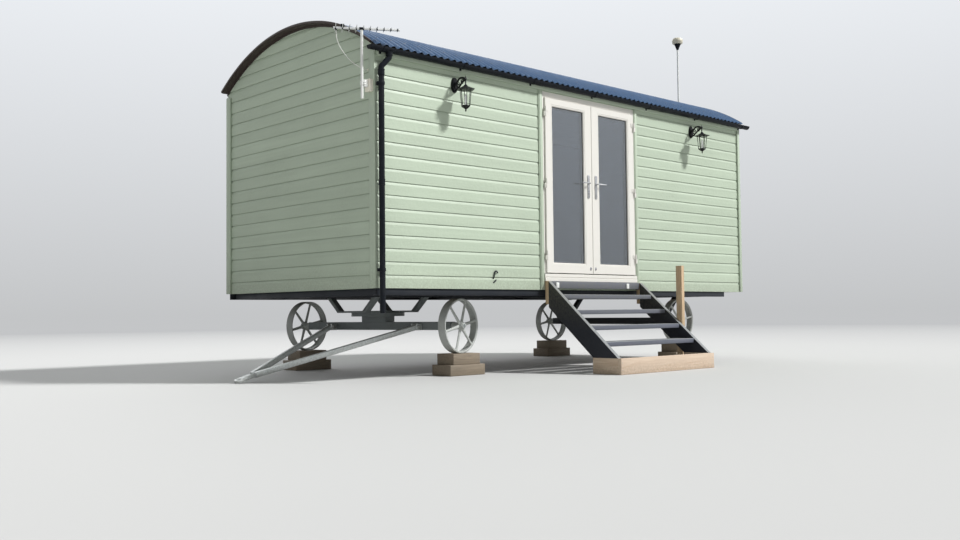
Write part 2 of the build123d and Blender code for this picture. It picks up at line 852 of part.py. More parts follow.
# Wall lanterns: plate, bent arm, cap and base joined by six corner bars round the glass
lantern_bottom = lantern_glass_top - lantern_glass_height
cap_top = lantern_glass_top + lantern_cap_height
neck_top = cap_top + lantern_neck_height
bar_reach = corner_bar_radius + bar_gap
for name, x in zip(("lantern_left", "lantern_right"), lantern_x):
    with BuildPart() as lantern:
        with BuildSketch(Plane.XZ.offset(0)):
            with Locations((x, lantern_z)):
                Ellipse(backplate_width / 2, backplate_height / 2)
        extrude(amount=backplate_thickness)
        with BuildLine(Plane.YZ.offset(x)) as arm_path:
            ThreePointArc(
                (-backplate_thickness, lantern_z),
                (-(backplate_thickness + lantern_out) / 2, lantern_z + arm_rise),
                (-lantern_out, lantern_z),
            )
        with BuildSketch(Plane(origin=arm_path.line @ 0, z_dir=arm_path.line % 0)):
            Circle(arm_radius)
        sweep()
        turned = Plane.XZ.offset(lantern_out)
        with BuildSketch(turned):
            with BuildLine():
                Polyline(
                    (x, lantern_glass_top),
                    (x + lantern_cap_radius, lantern_glass_top),
                    (x + lantern_neck_radius, cap_top),
                    (x + lantern_neck_radius, neck_top),
                    (x, neck_top + finial_height),
                    close=True,
                )
            make_face()
            with BuildLine():
                Polyline(
                    (x, lantern_bottom),
                    (x + lantern_base_radius, lantern_bottom),
                    (x + lantern_neck_radius, lantern_bottom - lantern_base_height),
                    (x, lantern_bottom - lantern_base_height - finial_height),
                    close=True,
                )
            make_face()
        revolve(axis=Axis((x, -lantern_out, 0), (0, 0, 1)))
        for count in range(6):
            turn = 2 * pi * count / 6
            for z, radius in (
                (lantern_bottom, lantern_radius * lantern_taper + bar_reach),
                (lantern_glass_top, lantern_radius + bar_reach),
            ):
                with BuildSketch(Plane.XY.offset(z)):
                    with Locations((x + radius * cos(turn), -lantern_out + radius * sin(turn))):
                        Circle(corner_bar_radius)
            loft()
    keep(name, lantern.part)

with BuildPart() as lantern_glass:
    for x in lantern_x:
        with BuildSketch(Plane.XY.offset(lantern_bottom)):
            with Locations((x, -lantern_out)):
                RegularPolygon(lantern_radius * lantern_taper, 6)
        with BuildSketch(Plane.XY.offset(lantern_glass_top)):
            with Locations((x, -lantern_out)):
                RegularPolygon(lantern_radius, 6)
        loft()
keep("lantern_glass", lantern_glass.part)

# Television aerial on the left end
with BuildPart() as aerial_mast:
    with BuildSketch(Plane.XY.offset(aerial_mast_bottom)):
        with Locations((aerial_mast_x, aerial_mast_y)):
            Circle(aerial_mast_radius)
    extrude(amount=aerial_mast_length)
keep("aerial_mast", aerial_mast.part)

gland_x, gland_y, gland_z = cable_route[-1]
with BuildPart() as aerial_fixings:
    block(
        aerial_mast_x + aerial_mast_radius, -trim_thickness, aerial_mast_y - bracket_width / 2,
        aerial_mast_y + bracket_width / 2, bracket_z, bracket_z + bracket_height,
    )
    with BuildSketch(Plane.YZ.offset(gland_x)):
        with Locations((gland_y, gland_z)):
            Circle(gland_radius)
    extrude(amount=-gland_x)
keep("aerial_fixings", aerial_fixings.part)

boom = Plane(
    origin=(aerial_mast_x, aerial_mast_y, aerial_boom_z),
    x_dir=(cos(radians(aerial_boom_angle)), sin(radians(aerial_boom_angle)), 0),
    z_dir=(0, 0, 1),
)
element_step = (boom_back + boom_front - 2 * boom_size) / (element_count - 1)
with BuildPart() as aerial_boom:
    block(-boom_back, boom_front, -boom_size / 2, boom_size / 2, -boom_size / 2, boom_size / 2, boom)
    for count in range(element_count):
        half = element_long + (element_short - element_long) * count / (element_count - 1)
        across = boom.from_local_coords((-boom_back + boom_size + count * element_step, -half, 0))
        with BuildSketch(Plane(origin=across, x_dir=boom.x_dir, z_dir=boom.y_dir)):
            Circle(element_radius)
        extrude(amount=2 * half)
    socket_x, socket_y, socket_z = cable_route[0]
    with BuildSketch(Plane.XY.offset(socket_z)):
        with Locations((socket_x, socket_y)):
            Circle(gland_radius)
    extrude(amount=aerial_boom_z - socket_z)
keep("aerial_boom", aerial_boom.part)

# The aerial's cable
cable_points = [Vector(*point) for point in cable_route]
cable_bends = []
for before, here, after in zip(cable_points, cable_points[1:], cable_points[2:]):
    run_in = here - before
    run_out = after - here
    half_turn = radians(run_in.get_angle(run_out)) / 2
    cable_bends.append(0.45 * min(run_in.length, run_out.length) / tan(half_turn))
print("cable bend radii", [round(bend, 1) for bend in cable_bends])

with BuildPart() as aerial_cable:
    with BuildLine() as cable_path:
        FilletPolyline(*cable_points, radius=cable_bends)
    with BuildSketch(Plane(origin=cable_path.line @ 0, z_dir=cable_path.line % 0)):
        Circle(cable_radius)
    sweep()
cable_length = sum(edge.length for edge in cable_path.edges())
cable_volume = pi * cable_radius**2 * cable_length
print("cable length", cable_length, "volume ratio", aerial_cable.part.volume / cable_volume)
keep("aerial_cable", aerial_cable.part)

# Dome aerial on a thin mast at the right end
dome_x = body_length + dome_mast_out
with BuildPart() as dome_mast:
    with BuildSketch(Plane.XY.offset(dome_mast_bottom)):
        with Locations((dome_x, dome_mast_y)):
            Circle(dome_mast_radius)
    extrude(amount=dome_mast_top - dome_mast_bottom)
    for rise in dome_bracket_rises:
        z = dome_mast_bottom + rise
        block(
            body_length, dome_x, dome_mast_y - dome_bracket_size / 2, dome_mast_y + dome_bracket_size / 2,
            z, z + dome_bracket_size,
        )
keep("dome_mast", dome_mast.part)

with BuildPart() as dome_head:
    with BuildSketch(Plane(origin=(dome_x, dome_mast_y, dome_mast_top), x_dir=(1, 0, 0), z_dir=(0, -1, 0))):
        with BuildLine():
            Polyline(
                (0, 0),
                (dome_mast_radius + 4, 0),
                (dome_radius * 0.66, dome_cone),
                (dome_radius * 0.9, dome_cone),
                (dome_radius, dome_cone + dome_height * 0.45),
                (dome_radius * 0.86, dome_cone + dome_height * 0.88),
                (dome_radius * 0.4, dome_cone + dome_height),
                (0, dome_cone + dome_height),
                close=True,
            )
        make_face()
    revolve(axis=Axis((dome_x, dome_mast_y, 0), (0, 0, 1)))
keep("dome_head", dome_head.part)

# The origin is on the ground in the middle of the footprint
boxes = [piece.bounding_box() for piece in pieces.values()]
middle_x = (min(box.min.X for box in boxes) + max(box.max.X for box in boxes)) / 2
middle_y = (min(box.min.Y for box in boxes) + max(box.max.Y for box in boxes)) / 2
shift = Location((-middle_x, -middle_y, ground_clear))
print("origin moved by", -middle_x, -middle_y, ground_clear)

os.makedirs("parts", exist_ok=True)
for name, piece in pieces.items():
    placed = piece.moved(shift)
    placed.label = name
    export_step(placed, "parts/" + name + ".step")
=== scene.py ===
"""Shepherds hut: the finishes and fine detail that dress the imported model."""

from math import asin, ceil, cos, floor, pi, radians, sin, sqrt, tan

import bmesh
import bpy
from bpy.props import FloatProperty, FloatVectorProperty, IntProperty, PointerProperty
from mathutils import Matrix, Vector


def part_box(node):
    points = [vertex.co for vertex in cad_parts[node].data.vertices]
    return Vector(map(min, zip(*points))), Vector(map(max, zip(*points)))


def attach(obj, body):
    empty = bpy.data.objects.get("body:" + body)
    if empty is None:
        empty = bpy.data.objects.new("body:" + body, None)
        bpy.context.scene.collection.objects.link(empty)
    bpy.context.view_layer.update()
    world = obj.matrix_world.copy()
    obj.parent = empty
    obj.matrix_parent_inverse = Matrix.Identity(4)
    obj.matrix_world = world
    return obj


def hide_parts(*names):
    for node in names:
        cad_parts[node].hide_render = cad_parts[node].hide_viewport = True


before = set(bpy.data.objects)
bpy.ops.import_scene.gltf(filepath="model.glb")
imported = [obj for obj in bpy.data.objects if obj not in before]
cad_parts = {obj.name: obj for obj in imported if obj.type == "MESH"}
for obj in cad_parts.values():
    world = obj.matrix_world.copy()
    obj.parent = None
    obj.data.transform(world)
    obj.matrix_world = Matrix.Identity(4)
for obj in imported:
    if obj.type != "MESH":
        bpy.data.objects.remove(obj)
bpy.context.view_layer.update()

bl_info = {
    "name": "Shepherds hut",
    "version": (1, 0, 0),
    "blender": (4, 5, 0),
    "location": "View3D > Sidebar > Hut",
    "description": "Dresses the packed shepherds hut with its boards, roof, doors, wheels and finishes",
    "category": "Object",
}


# Places read from the frame


def node_box(name):
    """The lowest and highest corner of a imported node, as vectors in metres."""
    low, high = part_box(name)
    return Vector(low), Vector(high)


wall_low, wall_high = node_box("left_end_wall")
far_high = node_box("right_end_wall")[1]
eave_low, eave_high = node_box("rear_wall")
corner = wall_low.copy()
BODY_LENGTH = far_high.x - wall_low.x
BODY_WIDTH = wall_high.y - wall_low.y
WALL = wall_high.x - wall_low.x
EAVE = eave_high.z - eave_low.z
CROWN = wall_high.z - wall_low.z
MIDDLE = BODY_WIDTH / 2
ARCH_RISE = CROWN - EAVE
ARCH_RADIUS = (MIDDLE**2 + ARCH_RISE**2) / (2 * ARCH_RISE)
ARCH_CENTRE = CROWN - ARCH_RADIUS


def at(x, y, z):
    """A point given from the front left corner of the walls, at their underside."""
    return corner + Vector((x, y, z))


def local_box(name):
    """A node's corners measured from the front left corner of the walls."""
    low, high = node_box(name)
    return low - corner, high - corner


def arch(y):
    """Height of the walls' curved top at y."""
    return ARCH_CENTRE + sqrt(max(ARCH_RADIUS**2 - (y - MIDDLE) ** 2, 0.0))


# Sizes and colours that a user would change


class HutSizes(bpy.types.PropertyGroup):
    """Sizes of the fine detail, in metres."""

    side_pitch: FloatProperty(
        name="Side board pitch", description="Height of one board on the long walls",
        default=0.113, unit="LENGTH",
    )
    end_pitch: FloatProperty(
        name="End board pitch", description="Height of one board on the end walls",
        default=0.115, unit="LENGTH",
    )
    groove: FloatProperty(
        name="Board groove", description="Depth of the groove between two boards",
        default=0.008, unit="LENGTH",
    )
    rib_pitch: FloatProperty(
        name="Rib pitch", description="Distance between two ribs of the roof sheet",
        default=0.076, unit="LENGTH",
    )
    rib_height: FloatProperty(
        name="Rib height", description="Height of a rib of the roof sheet, from trough to crest",
        default=0.0165, unit="LENGTH",
    )
    screw_rows: IntProperty(
        name="Screw rows", description="Rows of screws from the front eave to the rear eave",
        default=7,
    )
    spokes: IntProperty(name="Spokes", description="Spokes of one wheel", default=6)


class HutColours(bpy.types.PropertyGroup):
    """Colours of the finishes."""

    boards: FloatVectorProperty(
        name="Boards", description="Paint on the boards and trims", subtype="COLOR", size=4,
        default=(0.46, 0.54, 0.42, 1),
    )
    joinery: FloatVectorProperty(
        name="Doors", description="Door leaves, frame and sill", subtype="COLOR", size=4,
        default=(0.74, 0.72, 0.67, 1),
    )
    roof: FloatVectorProperty(
        name="Roof", description="Coating on the roof sheet", subtype="COLOR", size=4,
        default=(0.045, 0.1, 0.2, 1),
    )
    verge: FloatVectorProperty(
        name="Verges", description="Stained timber at the roof ends", subtype="COLOR", size=4,
        default=(0.06, 0.045, 0.04, 1),
    )
    steps: FloatVectorProperty(
        name="Steps", description="Paint on the steps", subtype="COLOR", size=4,
        default=(0.11, 0.12, 0.155, 1),
    )
    iron: FloatVectorProperty(
        name="Wheels", description="Paint on the cast wheels", subtype="COLOR", size=4,
        default=(0.43, 0.45, 0.43, 1),
    )


def sizes():
    """The sizes as they are set on the scene."""
    return bpy.context.scene.hut_sizes


def colours():
    """The colours as they are set on the scene."""
    return bpy.context.scene.hut_colours


# Shader helpers


def put(tree, kind, inputs=None, **attributes):
    """Adds one node, sets its attributes and the values of its inputs."""
    node = tree.nodes.new(kind)
    for key, value in attributes.items():
        setattr(node, key, value)
    for key, value in (inputs or {}).items():
        if isinstance(value, bpy.types.NodeSocket):
            tree.links.new(value, node.inputs[key])
        else:
            node.inputs[key].default_value = value
    return node


def maths(tree, operation, first, second):
    """One Math node's result."""
    return put(tree, "ShaderNodeMath", {0: first, 1: second}, operation=operation).outputs[0]


def blend_colours(tree, factor, first, second):
    """One colour Mix node's result."""
    node = put(tree, "ShaderNodeMix", data_type="RGBA", blend_type="MIX")
    for socket, value in ((node.inputs[0], factor), (node.inputs[6], first), (node.inputs[7], second)):
        if isinstance(value, bpy.types.NodeSocket):
            tree.links.new(value, socket)
        else:
            socket.default_value = value
    return node.outputs[2]


def spread(tree, value, low, high, new_low=0.0, new_high=1.0):
    """A Map Range node's result, clamped."""
    node = put(
        tree, "ShaderNodeMapRange",
        {"Value": value, "From Min": low, "From Max": high, "To Min": new_low, "To Max": new_high},
    )
    return node.outputs["Result"]


def noise(tree, where, scale, detail=2.0, **inputs):
    """A Noise Texture node's value."""
    given = {"Vector": where, "Scale": scale, "Detail": detail, **inputs}
    return put(tree, "ShaderNodeTexNoise", given).outputs["Fac"]


def height_of(tree, where):
    """The Z part of some coordinates."""
    return put(tree, "ShaderNodeSeparateXYZ", {0: where}).outputs["Z"]


def stain(tree, shade, *layers):
    """The shade with colours laid over it, each by a mask and an amount."""
    for mask, amount, colour in layers:
        shade = blend_colours(tree, maths(tree, "MULTIPLY", mask, amount), shade, colour)
    return shade


def wood_grain(tree, given):
    """Long wood grain: streaks drawn out along one axis, with slower waves among them."""
    scaled = put(
        tree, "ShaderNodeVectorMath", {0: given["Vector"], 1: given["Stretch"]}, operation="MULTIPLY",
    ).outputs[0]
    fine = noise(tree, scaled, 1.0, 5.0, Roughness=0.62, Distortion=given["Waviness"])
    slow = noise(tree, scaled, 0.22, Distortion=given["Waviness"])
    return {"Grain": spread(tree, fine, 0.3, 0.7), "Slow": spread(tree, slow, 0.35, 0.65)}


def board_tone(tree, given):
    """A steady random tone for each board of a stack with a given pitch."""
    height = maths(tree, "SUBTRACT", height_of(tree, given["Vector"]), given["Base"])
    count = maths(tree, "DIVIDE", height, given["Pitch"])
    index = maths(tree, "FLOOR", count, 0.0)
    tone = put(tree, "ShaderNodeTexWhiteNoise", {"W": index}, noise_dimensions="1D")
    return {"Tone": tone.outputs["Value"], "Within": maths(tree, "FRACT", count, 0.0)}


def grime(tree, given):
    """Uneven dirt: broad clouds broken up by fine specks, and a splashed lower edge."""
    where = given["Vector"]
    cloud = noise(tree, where, given["Cloud Scale"], 4.0, Roughness=0.6)
    speck = noise(tree, where, given["Speck Scale"], 3.0, Roughness=0.7)
    lumps = noise(tree, where, 26.0)
    low_mask = spread(tree, height_of(tree, where), given["Splash Low"], given["Splash High"], 1.0, 0.0)
    return {
        "Dirt": maths(tree, "MULTIPLY", spread(tree, cloud, 0.4, 0.7), spread(tree, speck, 0.35, 0.65)),
        "Cloud": spread(tree, lumps, 0.3, 0.7),
        "Splash": maths(tree, "MULTIPLY", low_mask, spread(tree, speck, 0.3, 0.6)),
    }


GROUPS = {
    "Wood grain": (wood_grain, {"Stretch": (2.0, 60.0, 60.0), "Waviness": 0.6}),
    "Board tone": (board_tone, {"Pitch": 0.113, "Base": 0.0}),
    "Grime": (grime, {"Cloud Scale": 2.0, "Speck Scale": 60.0, "Splash Low": 0.0, "Splash High": 0.4}),
}


def shared_group(name):
    """The named shader group, made the first time it is asked for."""
    tree = bpy.data.node_groups.get(name)
    if tree:
        return tree
    build, inputs = GROUPS[name]
    tree = bpy.data.node_groups.new(name, "ShaderNodeTree")
    tree.interface.new_socket(name="Vector", in_out="INPUT", socket_type="NodeSocketVector")
    for label, default in inputs.items():
        kind = "NodeSocketVector" if isinstance(default, tuple) else "NodeSocketFloat"
        socket = tree.interface.new_socket(name=label, in_out="INPUT", socket_type=kind)
        socket.default_value = default
    results = build(tree, tree.nodes.new("NodeGroupInput").outputs)
    for label in results:
        tree.interface.new_socket(name=label, in_out="OUTPUT", socket_type="NodeSocketFloat")
    output = tree.nodes.new("NodeGroupOutput")
    for label, value in results.items():
        tree.links.new(value, output.inputs[label])
    return tree


def use_group(tree, name, where, **values):
    """Puts a shared group to use and gives its outputs."""
    node = put(tree, "ShaderNodeGroup", {"Vector": where}, node_tree=shared_group(name))
    for label, value in values.items():
        node.inputs[label.replace("_", " ")].default_value = value
    return node.outputs


def shader(name, colour, roughness=0.5, metallic=0.0, **constants):
    """A new material with its Principled shader, its tree and its Object coordinates."""
    material = bpy.data.materials.new(name)
    material.use_nodes = True
    tree = material.node_tree
    tree.nodes.clear()
    surface = put(tree, "ShaderNodeBsdfPrincipled")
    surface.inputs["Base Color"].default_value = colour
    surface.inputs["Roughness"].default_value = roughness
    surface.inputs["Metallic"].default_value = metallic
    for label, value in constants.items():
        surface.inputs[label.replace("_", " ")].default_value = value
    output = put(tree, "ShaderNodeOutputMaterial")
    tree.links.new(surface.outputs[0], output.inputs[0])
    where = put(tree, "ShaderNodeTexCoord").outputs["Object"]
    material.diffuse_color = colour
    return material, tree, surface, where


def bump(tree, surface, height, strength, distance):
    """Feeds a height to the shader's Normal."""
    node = put(
        tree, "ShaderNodeBump", {"Height": height, "Strength": strength, "Distance": distance},
    )
    tree.links.new(node.outputs["Normal"], surface.inputs["Normal"])


def tinted(colour, factor):
    """The colour made lighter or darker."""
    return tuple(min(channel * factor, 1.0) for channel in colour[:3]) + (1.0,)


def painted_wood(name, colour, stretch, pitch=0.0, roughness=0.5, splash=0.25, wear=0.08, ior=1.5):
    """Paint on sawn boards: faint grain, a tone for each board, a dark line of painted shade and dirt
    under each lap, and dirt at the foot.
    """
    material, tree, surface, where = shader(name, colour, roughness, IOR=ior)
    grain = use_group(tree, "Wood grain", where, Stretch=stretch)
    dirt = use_group(tree, "Grime", where, Splash_Low=corner.z - 0.05, Splash_High=corner.z + splash)
    shade = blend_colours(tree, grain["Slow"], tinted(colour, 0.95), tinted(colour, 1.05))
    if pitch:
        board = use_group(tree, "Board tone", where, Pitch=pitch, Base=corner.z)
        # Painted shade: a dark line at the top of each board, where the lap above shades the groove, with
        # a little dirt in it.
        joint_dirt_and_shade = spread(tree, board["Within"], 0.93, 0.965)
        shade = stain(
            tree, shade, (board["Tone"], 0.6, tinted(colour, 0.9)), (joint_dirt_and_shade, 0.5, tinted(colour, 0.35)),
        )
    shade = stain(
        tree, shade, (grain["Grain"], 0.1, tinted(colour, 0.8)),
        (dirt["Dirt"], wear * 2, (0.2, 0.22, 0.16, 1)), (dirt["Splash"], 0.35, (0.16, 0.15, 0.1, 1)),
    )
    tree.links.new(shade, surface.inputs["Base Color"])
    rough = spread(tree, grain["Grain"], 0.0, 1.0, roughness - 0.06, roughness + 0.1)
    tree.links.new(rough, surface.inputs["Roughness"])
    relief = maths(tree, "ADD", maths(tree, "MULTIPLY", grain["Grain"], 0.45), dirt["Cloud"])
    bump(tree, surface, relief, 0.5, 0.0012)
    return material


def bare_wood(name, light, dark, stretch, knots=3.0, roughness=0.7, weathered=0.0):
    """Sawn timber: growth rings along the grain, knots and some weathering."""
    material, tree, surface, where = shader(name, light, roughness)
    grain = use_group(tree, "Wood grain", where, Stretch=stretch, Waviness=1.6)
    squeezed = put(
        tree, "ShaderNodeVectorMath",
        {0: where, 1: tuple(0.4 if part == min(stretch) else 1.0 for part in stretch)},
        operation="MULTIPLY",
    ).outputs[0]
    knot = put(
        tree, "ShaderNodeTexVoronoi", {"Vector": squeezed, "Scale": knots, "Randomness": 1.0},
    ).outputs["Distance"]
    dirt = use_group(tree, "Grime", where, Splash_High=0.12)
    shade = stain(
        tree, blend_colours(tree, grain["Grain"], light, dark),
        (grain["Slow"], 0.5, tinted(light, 0.85)),
        (spread(tree, knot, 0.035, 0.085, 1.0, 0.0), 0.75, tinted(dark, 0.45)),
        (dirt["Dirt"], weathered, (0.17, 0.16, 0.14, 1)), (dirt["Splash"], 0.4, (0.14, 0.11, 0.07, 1)),
    )
    tree.links.new(shade, surface.inputs["Base Color"])
    bump(tree, surface, grain["Grain"], 0.5, 0.001)
    return material


MUD = (0.13, 0.1, 0.06, 1)
DUST = (0.3, 0.29, 0.26, 1)


def coated(name, colour, roughness, metallic=0.0, coat=0.0, dust=0.15, dust_colour=DUST,
           texture=0.0, texture_scale=400.0, splash_top=0.2, ior=1.5, valley=0.0):
    """A coated surface with dust, which can have a fine texture and painted shade in the roof's valleys.
    """
    material, tree, surface, where = shader(name, colour, roughness, metallic, Coat_Weight=coat, IOR=ior)
    dirt = use_group(tree, "Grime", where, Cloud_Scale=5.0, Speck_Scale=90.0, Splash_High=splash_top)
    shade = stain(tree, colour, (dirt["Dirt"], dust, dust_colour), (dirt["Splash"], dust, MUD))
    # Painted shade: the colour darkens towards the bottom of each valley of the sheet, following the
    # ribs' phase along the hut.
    if valley:
        along = put(tree, "ShaderNodeSeparateXYZ", {"Vector": where}).outputs["X"]
        start = node_box("roof_sheet")[0].x
        distance = maths(tree, "SUBTRACT", along, start)
        phase = maths(tree, "MULTIPLY", distance, 2 * pi / sizes().rib_pitch)
        depth = spread(tree, maths(tree, "COSINE", phase, 0.0), 0.5, -1.0, 0.0, valley)
        shade = blend_colours(tree, depth, shade, tinted(colour, 0.3))
    tree.links.new(shade, surface.inputs["Base Color"])
    rough = spread(tree, dirt["Dirt"], 0.0, 1.0, roughness, min(roughness + 0.35, 1.0))
    tree.links.new(rough, surface.inputs["Roughness"])
    if texture:
        bump(tree, surface, noise(tree, where, texture_scale), texture, 0.0008)
    return material


def galvanised(name, colour, roughness=0.45):
    """Zinc on steel: broad flakes of two greys, dulled by white bloom."""
    material, tree, surface, where = shader(name, colour, roughness, 0.7)
    flakes = put(
        tree, "ShaderNodeTexVoronoi", {"Vector": where, "Scale": 70.0, "Randomness": 1.0},
    ).outputs["Color"]
    tone = put(tree, "ShaderNodeSeparateXYZ", {0: flakes}).outputs["X"]
    dirt = use_group(tree, "Grime", where, Cloud_Scale=6.0, Splash_High=0.3)
    shade = stain(
        tree, blend_colours(tree, tone, tinted(colour, 0.82), tinted(colour, 1.12)),
        (dirt["Dirt"], 0.5, (0.6, 0.6, 0.58, 1)), (dirt["Splash"], 0.3, MUD),
    )
    tree.links.new(shade, surface.inputs["Base Color"])
    rough = spread(tree, tone, 0.0, 1.0, roughness - 0.1, roughness + 0.12)
    tree.links.new(rough, surface.inputs["Roughness"])
    return material


def glazing(name, colour, ior):
    """Clear or toned glass, with faint unevenness in the surface."""
    material, tree, surface, where = shader(name, colour, 0.0, 0.0, IOR=ior, Transmission_Weight=1.0)
    bump(tree, surface, noise(tree, where, 3.0, 1.0), 0.02, 0.002)
    return material


ALONG, ACROSS, UPRIGHT = (1.6, 55.0, 55.0), (55.0, 1.6, 55.0), (55.0, 55.0, 1.6)
STEP_GRAIN = (2.0, 70.0, 70.0)
NEW_LIGHT, NEW_DARK = (0.68, 0.55, 0.43, 1), (0.5, 0.36, 0.25, 1)
OILY = (0.1, 0.1, 0.09, 1)


def finish_table():
    """How each finish is made: its maker, its material's name, its values and its options."""
    paint = colours()
    return {
        "side boards": (painted_wood, "Side boards", paint.boards, ALONG, dict(pitch=sizes().side_pitch)),
        "end boards": (painted_wood, "End boards", paint.boards, ACROSS, dict(pitch=sizes().end_pitch)),
        "upright trim": (painted_wood, "Upright trim", tinted(paint.boards, 0.97), UPRIGHT, {}),
        "long trim": (painted_wood, "Long trim", tinted(paint.boards, 0.94), ALONG, dict(splash=0.0)),
        # The verge stain also serves as painted shade under the roof's overhang.
        "verge": (
            painted_wood, "Verge stain", paint.verge, (30.0, 3.0, 30.0),
            dict(roughness=0.42, splash=0.0, ior=1.25),
        ),
        "steps": (
            painted_wood, "Step paint", paint.steps, STEP_GRAIN,
            dict(roughness=0.42, splash=-0.4, wear=0.06),
        ),
        # Painted shade: the stringers take the step paint darkened to about a fifth, so their sides read
        # as shaded beside the lit treads.
        "stringer paint": (
            painted_wood, "Stringer paint", tinted(paint.steps, 0.22), STEP_GRAIN,
            dict(roughness=0.45, splash=-0.4, wear=0.02, ior=1.25),
        ),
        # Partly painted highlight: a paler paint for the faces that look upwards, worn and also lit from
        # above.
        "worn and lit steps": (
            painted_wood, "Worn step edges", (0.2, 0.21, 0.215, 1), STEP_GRAIN,
            dict(roughness=0.5, splash=-0.4, wear=0.1),
        ),
        "lining": (
            painted_wood, "Lining boards", (0.62, 0.58, 0.5, 1), (1.6, 50.0, 50.0), dict(roughness=0.6),
        ),
        "pine": (bare_wood, "New timber", NEW_LIGHT, NEW_DARK, (1.8, 42.0, 42.0), dict(knots=3.2)),
        "cross pine": (
            bare_wood, "New timber across", NEW_LIGHT, NEW_DARK, (42.0, 1.8, 42.0), dict(knots=3.2),
        ),
        "post timber": (
            bare_wood, "Post timber", (0.66, 0.5, 0.32, 1), (0.4, 0.26, 0.14, 1), (42.0, 42.0, 2.2),
            dict(knots=5.0, weathered=0.25),
        ),
        "packer timber": (
            bare_wood, "Packer timber", (0.27, 0.22, 0.16, 1), (0.15, 0.115, 0.08, 1), (3.0, 45.0, 45.0),
            dict(weathered=0.8),
        ),
        "floor boards": (
            bare_wood, "Floor boards", (0.36, 0.25, 0.15, 1), (0.24, 0.155, 0.085, 1), (1.4, 36.0, 36.0),
            dict(knots=2.4, roughness=0.5),
        ),
        "underside": (
            bare_wood, "Underside boards", (0.17, 0.14, 0.1, 1), (0.11, 0.09, 0.06, 1),
            (1.6, 36.0, 36.0), dict(knots=2.0, weathered=0.7),
        ),
        "joinery": (
            coated, "Door plastic", paint.joinery, 0.28,
            dict(dust=0.1, dust_colour=(0.5, 0.48, 0.42, 1), splash_top=1.0),
        ),
        "roof": (
            coated, "Roof coating", paint.roof, 0.42,
            dict(dust=0.12, dust_colour=(0.16, 0.2, 0.25, 1), ior=1.3, valley=0.6),
        ),
        "screw": (coated, "Screw cap", tinted(paint.roof, 0.5), 0.35, dict(coat=0.3)),
        "black plastic": (
            coated, "Black plastic", (0.006, 0.008, 0.012, 1), 0.34,
            dict(dust=0.06, texture=0.1, ior=1.2),
        ),
        "iron": (
            coated, "Wheel paint", paint.iron, 0.5,
            dict(dust=0.4, dust_colour=(0.2, 0.19, 0.17, 1), texture=0.35, texture_scale=160.0),
        ),
        "chassis": (
            coated, "Chassis paint", (0.017, 0.02, 0.026, 1), 0.45,
            dict(dust_colour=OILY, texture=0.15, texture_scale=120.0, ior=1.3),
        ),
        "gear": (
            coated, "Axle paint", (0.17, 0.19, 0.19, 1), 0.5,
            dict(dust=0.3, dust_colour=OILY, texture=0.2, texture_scale=120.0),
        ),
        "chrome": (coated, "Satin chrome", (0.52, 0.52, 0.53, 1), 0.22, dict(metallic=1.0, dust=0.1)),
        "lantern": (
            coated, "Lantern paint", (0.006, 0.007, 0.008, 1), 0.3,
            dict(dust=0.06, texture=0.08, ior=1.3),
        ),
        "rubber": (coated, "Glazing rubber", (0.012, 0.012, 0.012, 1), 0.55, dict(dust=0.1)),
        "white tube": (coated, "White tube", (0.78, 0.79, 0.76, 1), 0.4, {}),
        "junction": (coated, "Junction plastic", (0.88, 0.84, 0.72, 1), 0.45, dict(dust=0.1)),
        "sheath": (coated, "Cable sheath", (0.7, 0.71, 0.66, 1), 0.45, {}),
        "aluminium": (coated, "Bare aluminium", (0.7, 0.71, 0.7, 1), 0.4, dict(metallic=0.3, dust=0.1)),
        "dome": (coated, "Dome moulding", (0.62, 0.58, 0.46, 1), 0.35, dict(dust=0.06)),
        "zinc": (galvanised, "Zinc coating", (0.58, 0.61, 0.6, 1), {}),
        "bolt": (galvanised, "Bolt zinc", (0.42, 0.42, 0.4, 1), dict(roughness=0.38)),
        "door glass": (glazing, "Door glass", (0.6, 0.66, 0.72, 1), dict(ior=2.2)),
        "lantern glass": (glazing, "Lantern glass", (1, 1, 1, 1), dict(ior=1.05)),
    }


finishes = {}


def finish(name):
    """The named finish, made the first time it is asked for."""
    if name not in finishes:
        maker, *given, options = finish_table()[name]
        finishes[name] = maker(*given, **options)
    return finishes[name]


# Mesh helpers

SHARP = 30.0


def full_turn(count):
    """The angles of a number of points spaced evenly round a circle."""
    return [2 * pi * index / count for index in range(count)]


def upright(x, y):
    """A frame whose Z axis stands on a point of the ground plan."""
    return Matrix.Translation(at(x, y, 0))


def add_block(bm, first, second, bevel=0.0, segments=2):
    """One squared block between two opposite corners, with its edges softened."""
    low = Vector([min(pair) for pair in zip(first, second)])
    high = Vector([max(pair) for pair in zip(first, second)])
    size = high - low
    matrix = Matrix.Translation((low + high) / 2) @ Matrix.Diagonal((*size, 1.0))
    made = bmesh.ops.create_cube(bm, size=1.0, matrix=matrix)
    if bevel:
        edges = {edge for vert in made["verts"] for edge in vert.link_edges}
        soften(bm, edges, min(bevel, min(size) * 0.45), segments)


def soften(bm, edges, width, segments=2):
    """Bevels the given edges."""
    bmesh.ops.bevel(
        bm, geom=list(edges), offset=width, offset_type="OFFSET", segments=segments, profile=0.5,
        affect="EDGES", clamp_overlap=True, material=-1,
    )


def soften_sharp(bm, width, segments=2):
    """Bevels every edge that turns by more than SHARP degrees."""
    sharp = [
        edge for edge in bm.edges
        if len(edge.link_faces) == 2 and edge.calc_face_angle(0.0) > radians(SHARP)
    ]
    soften(bm, sharp, width, segments)


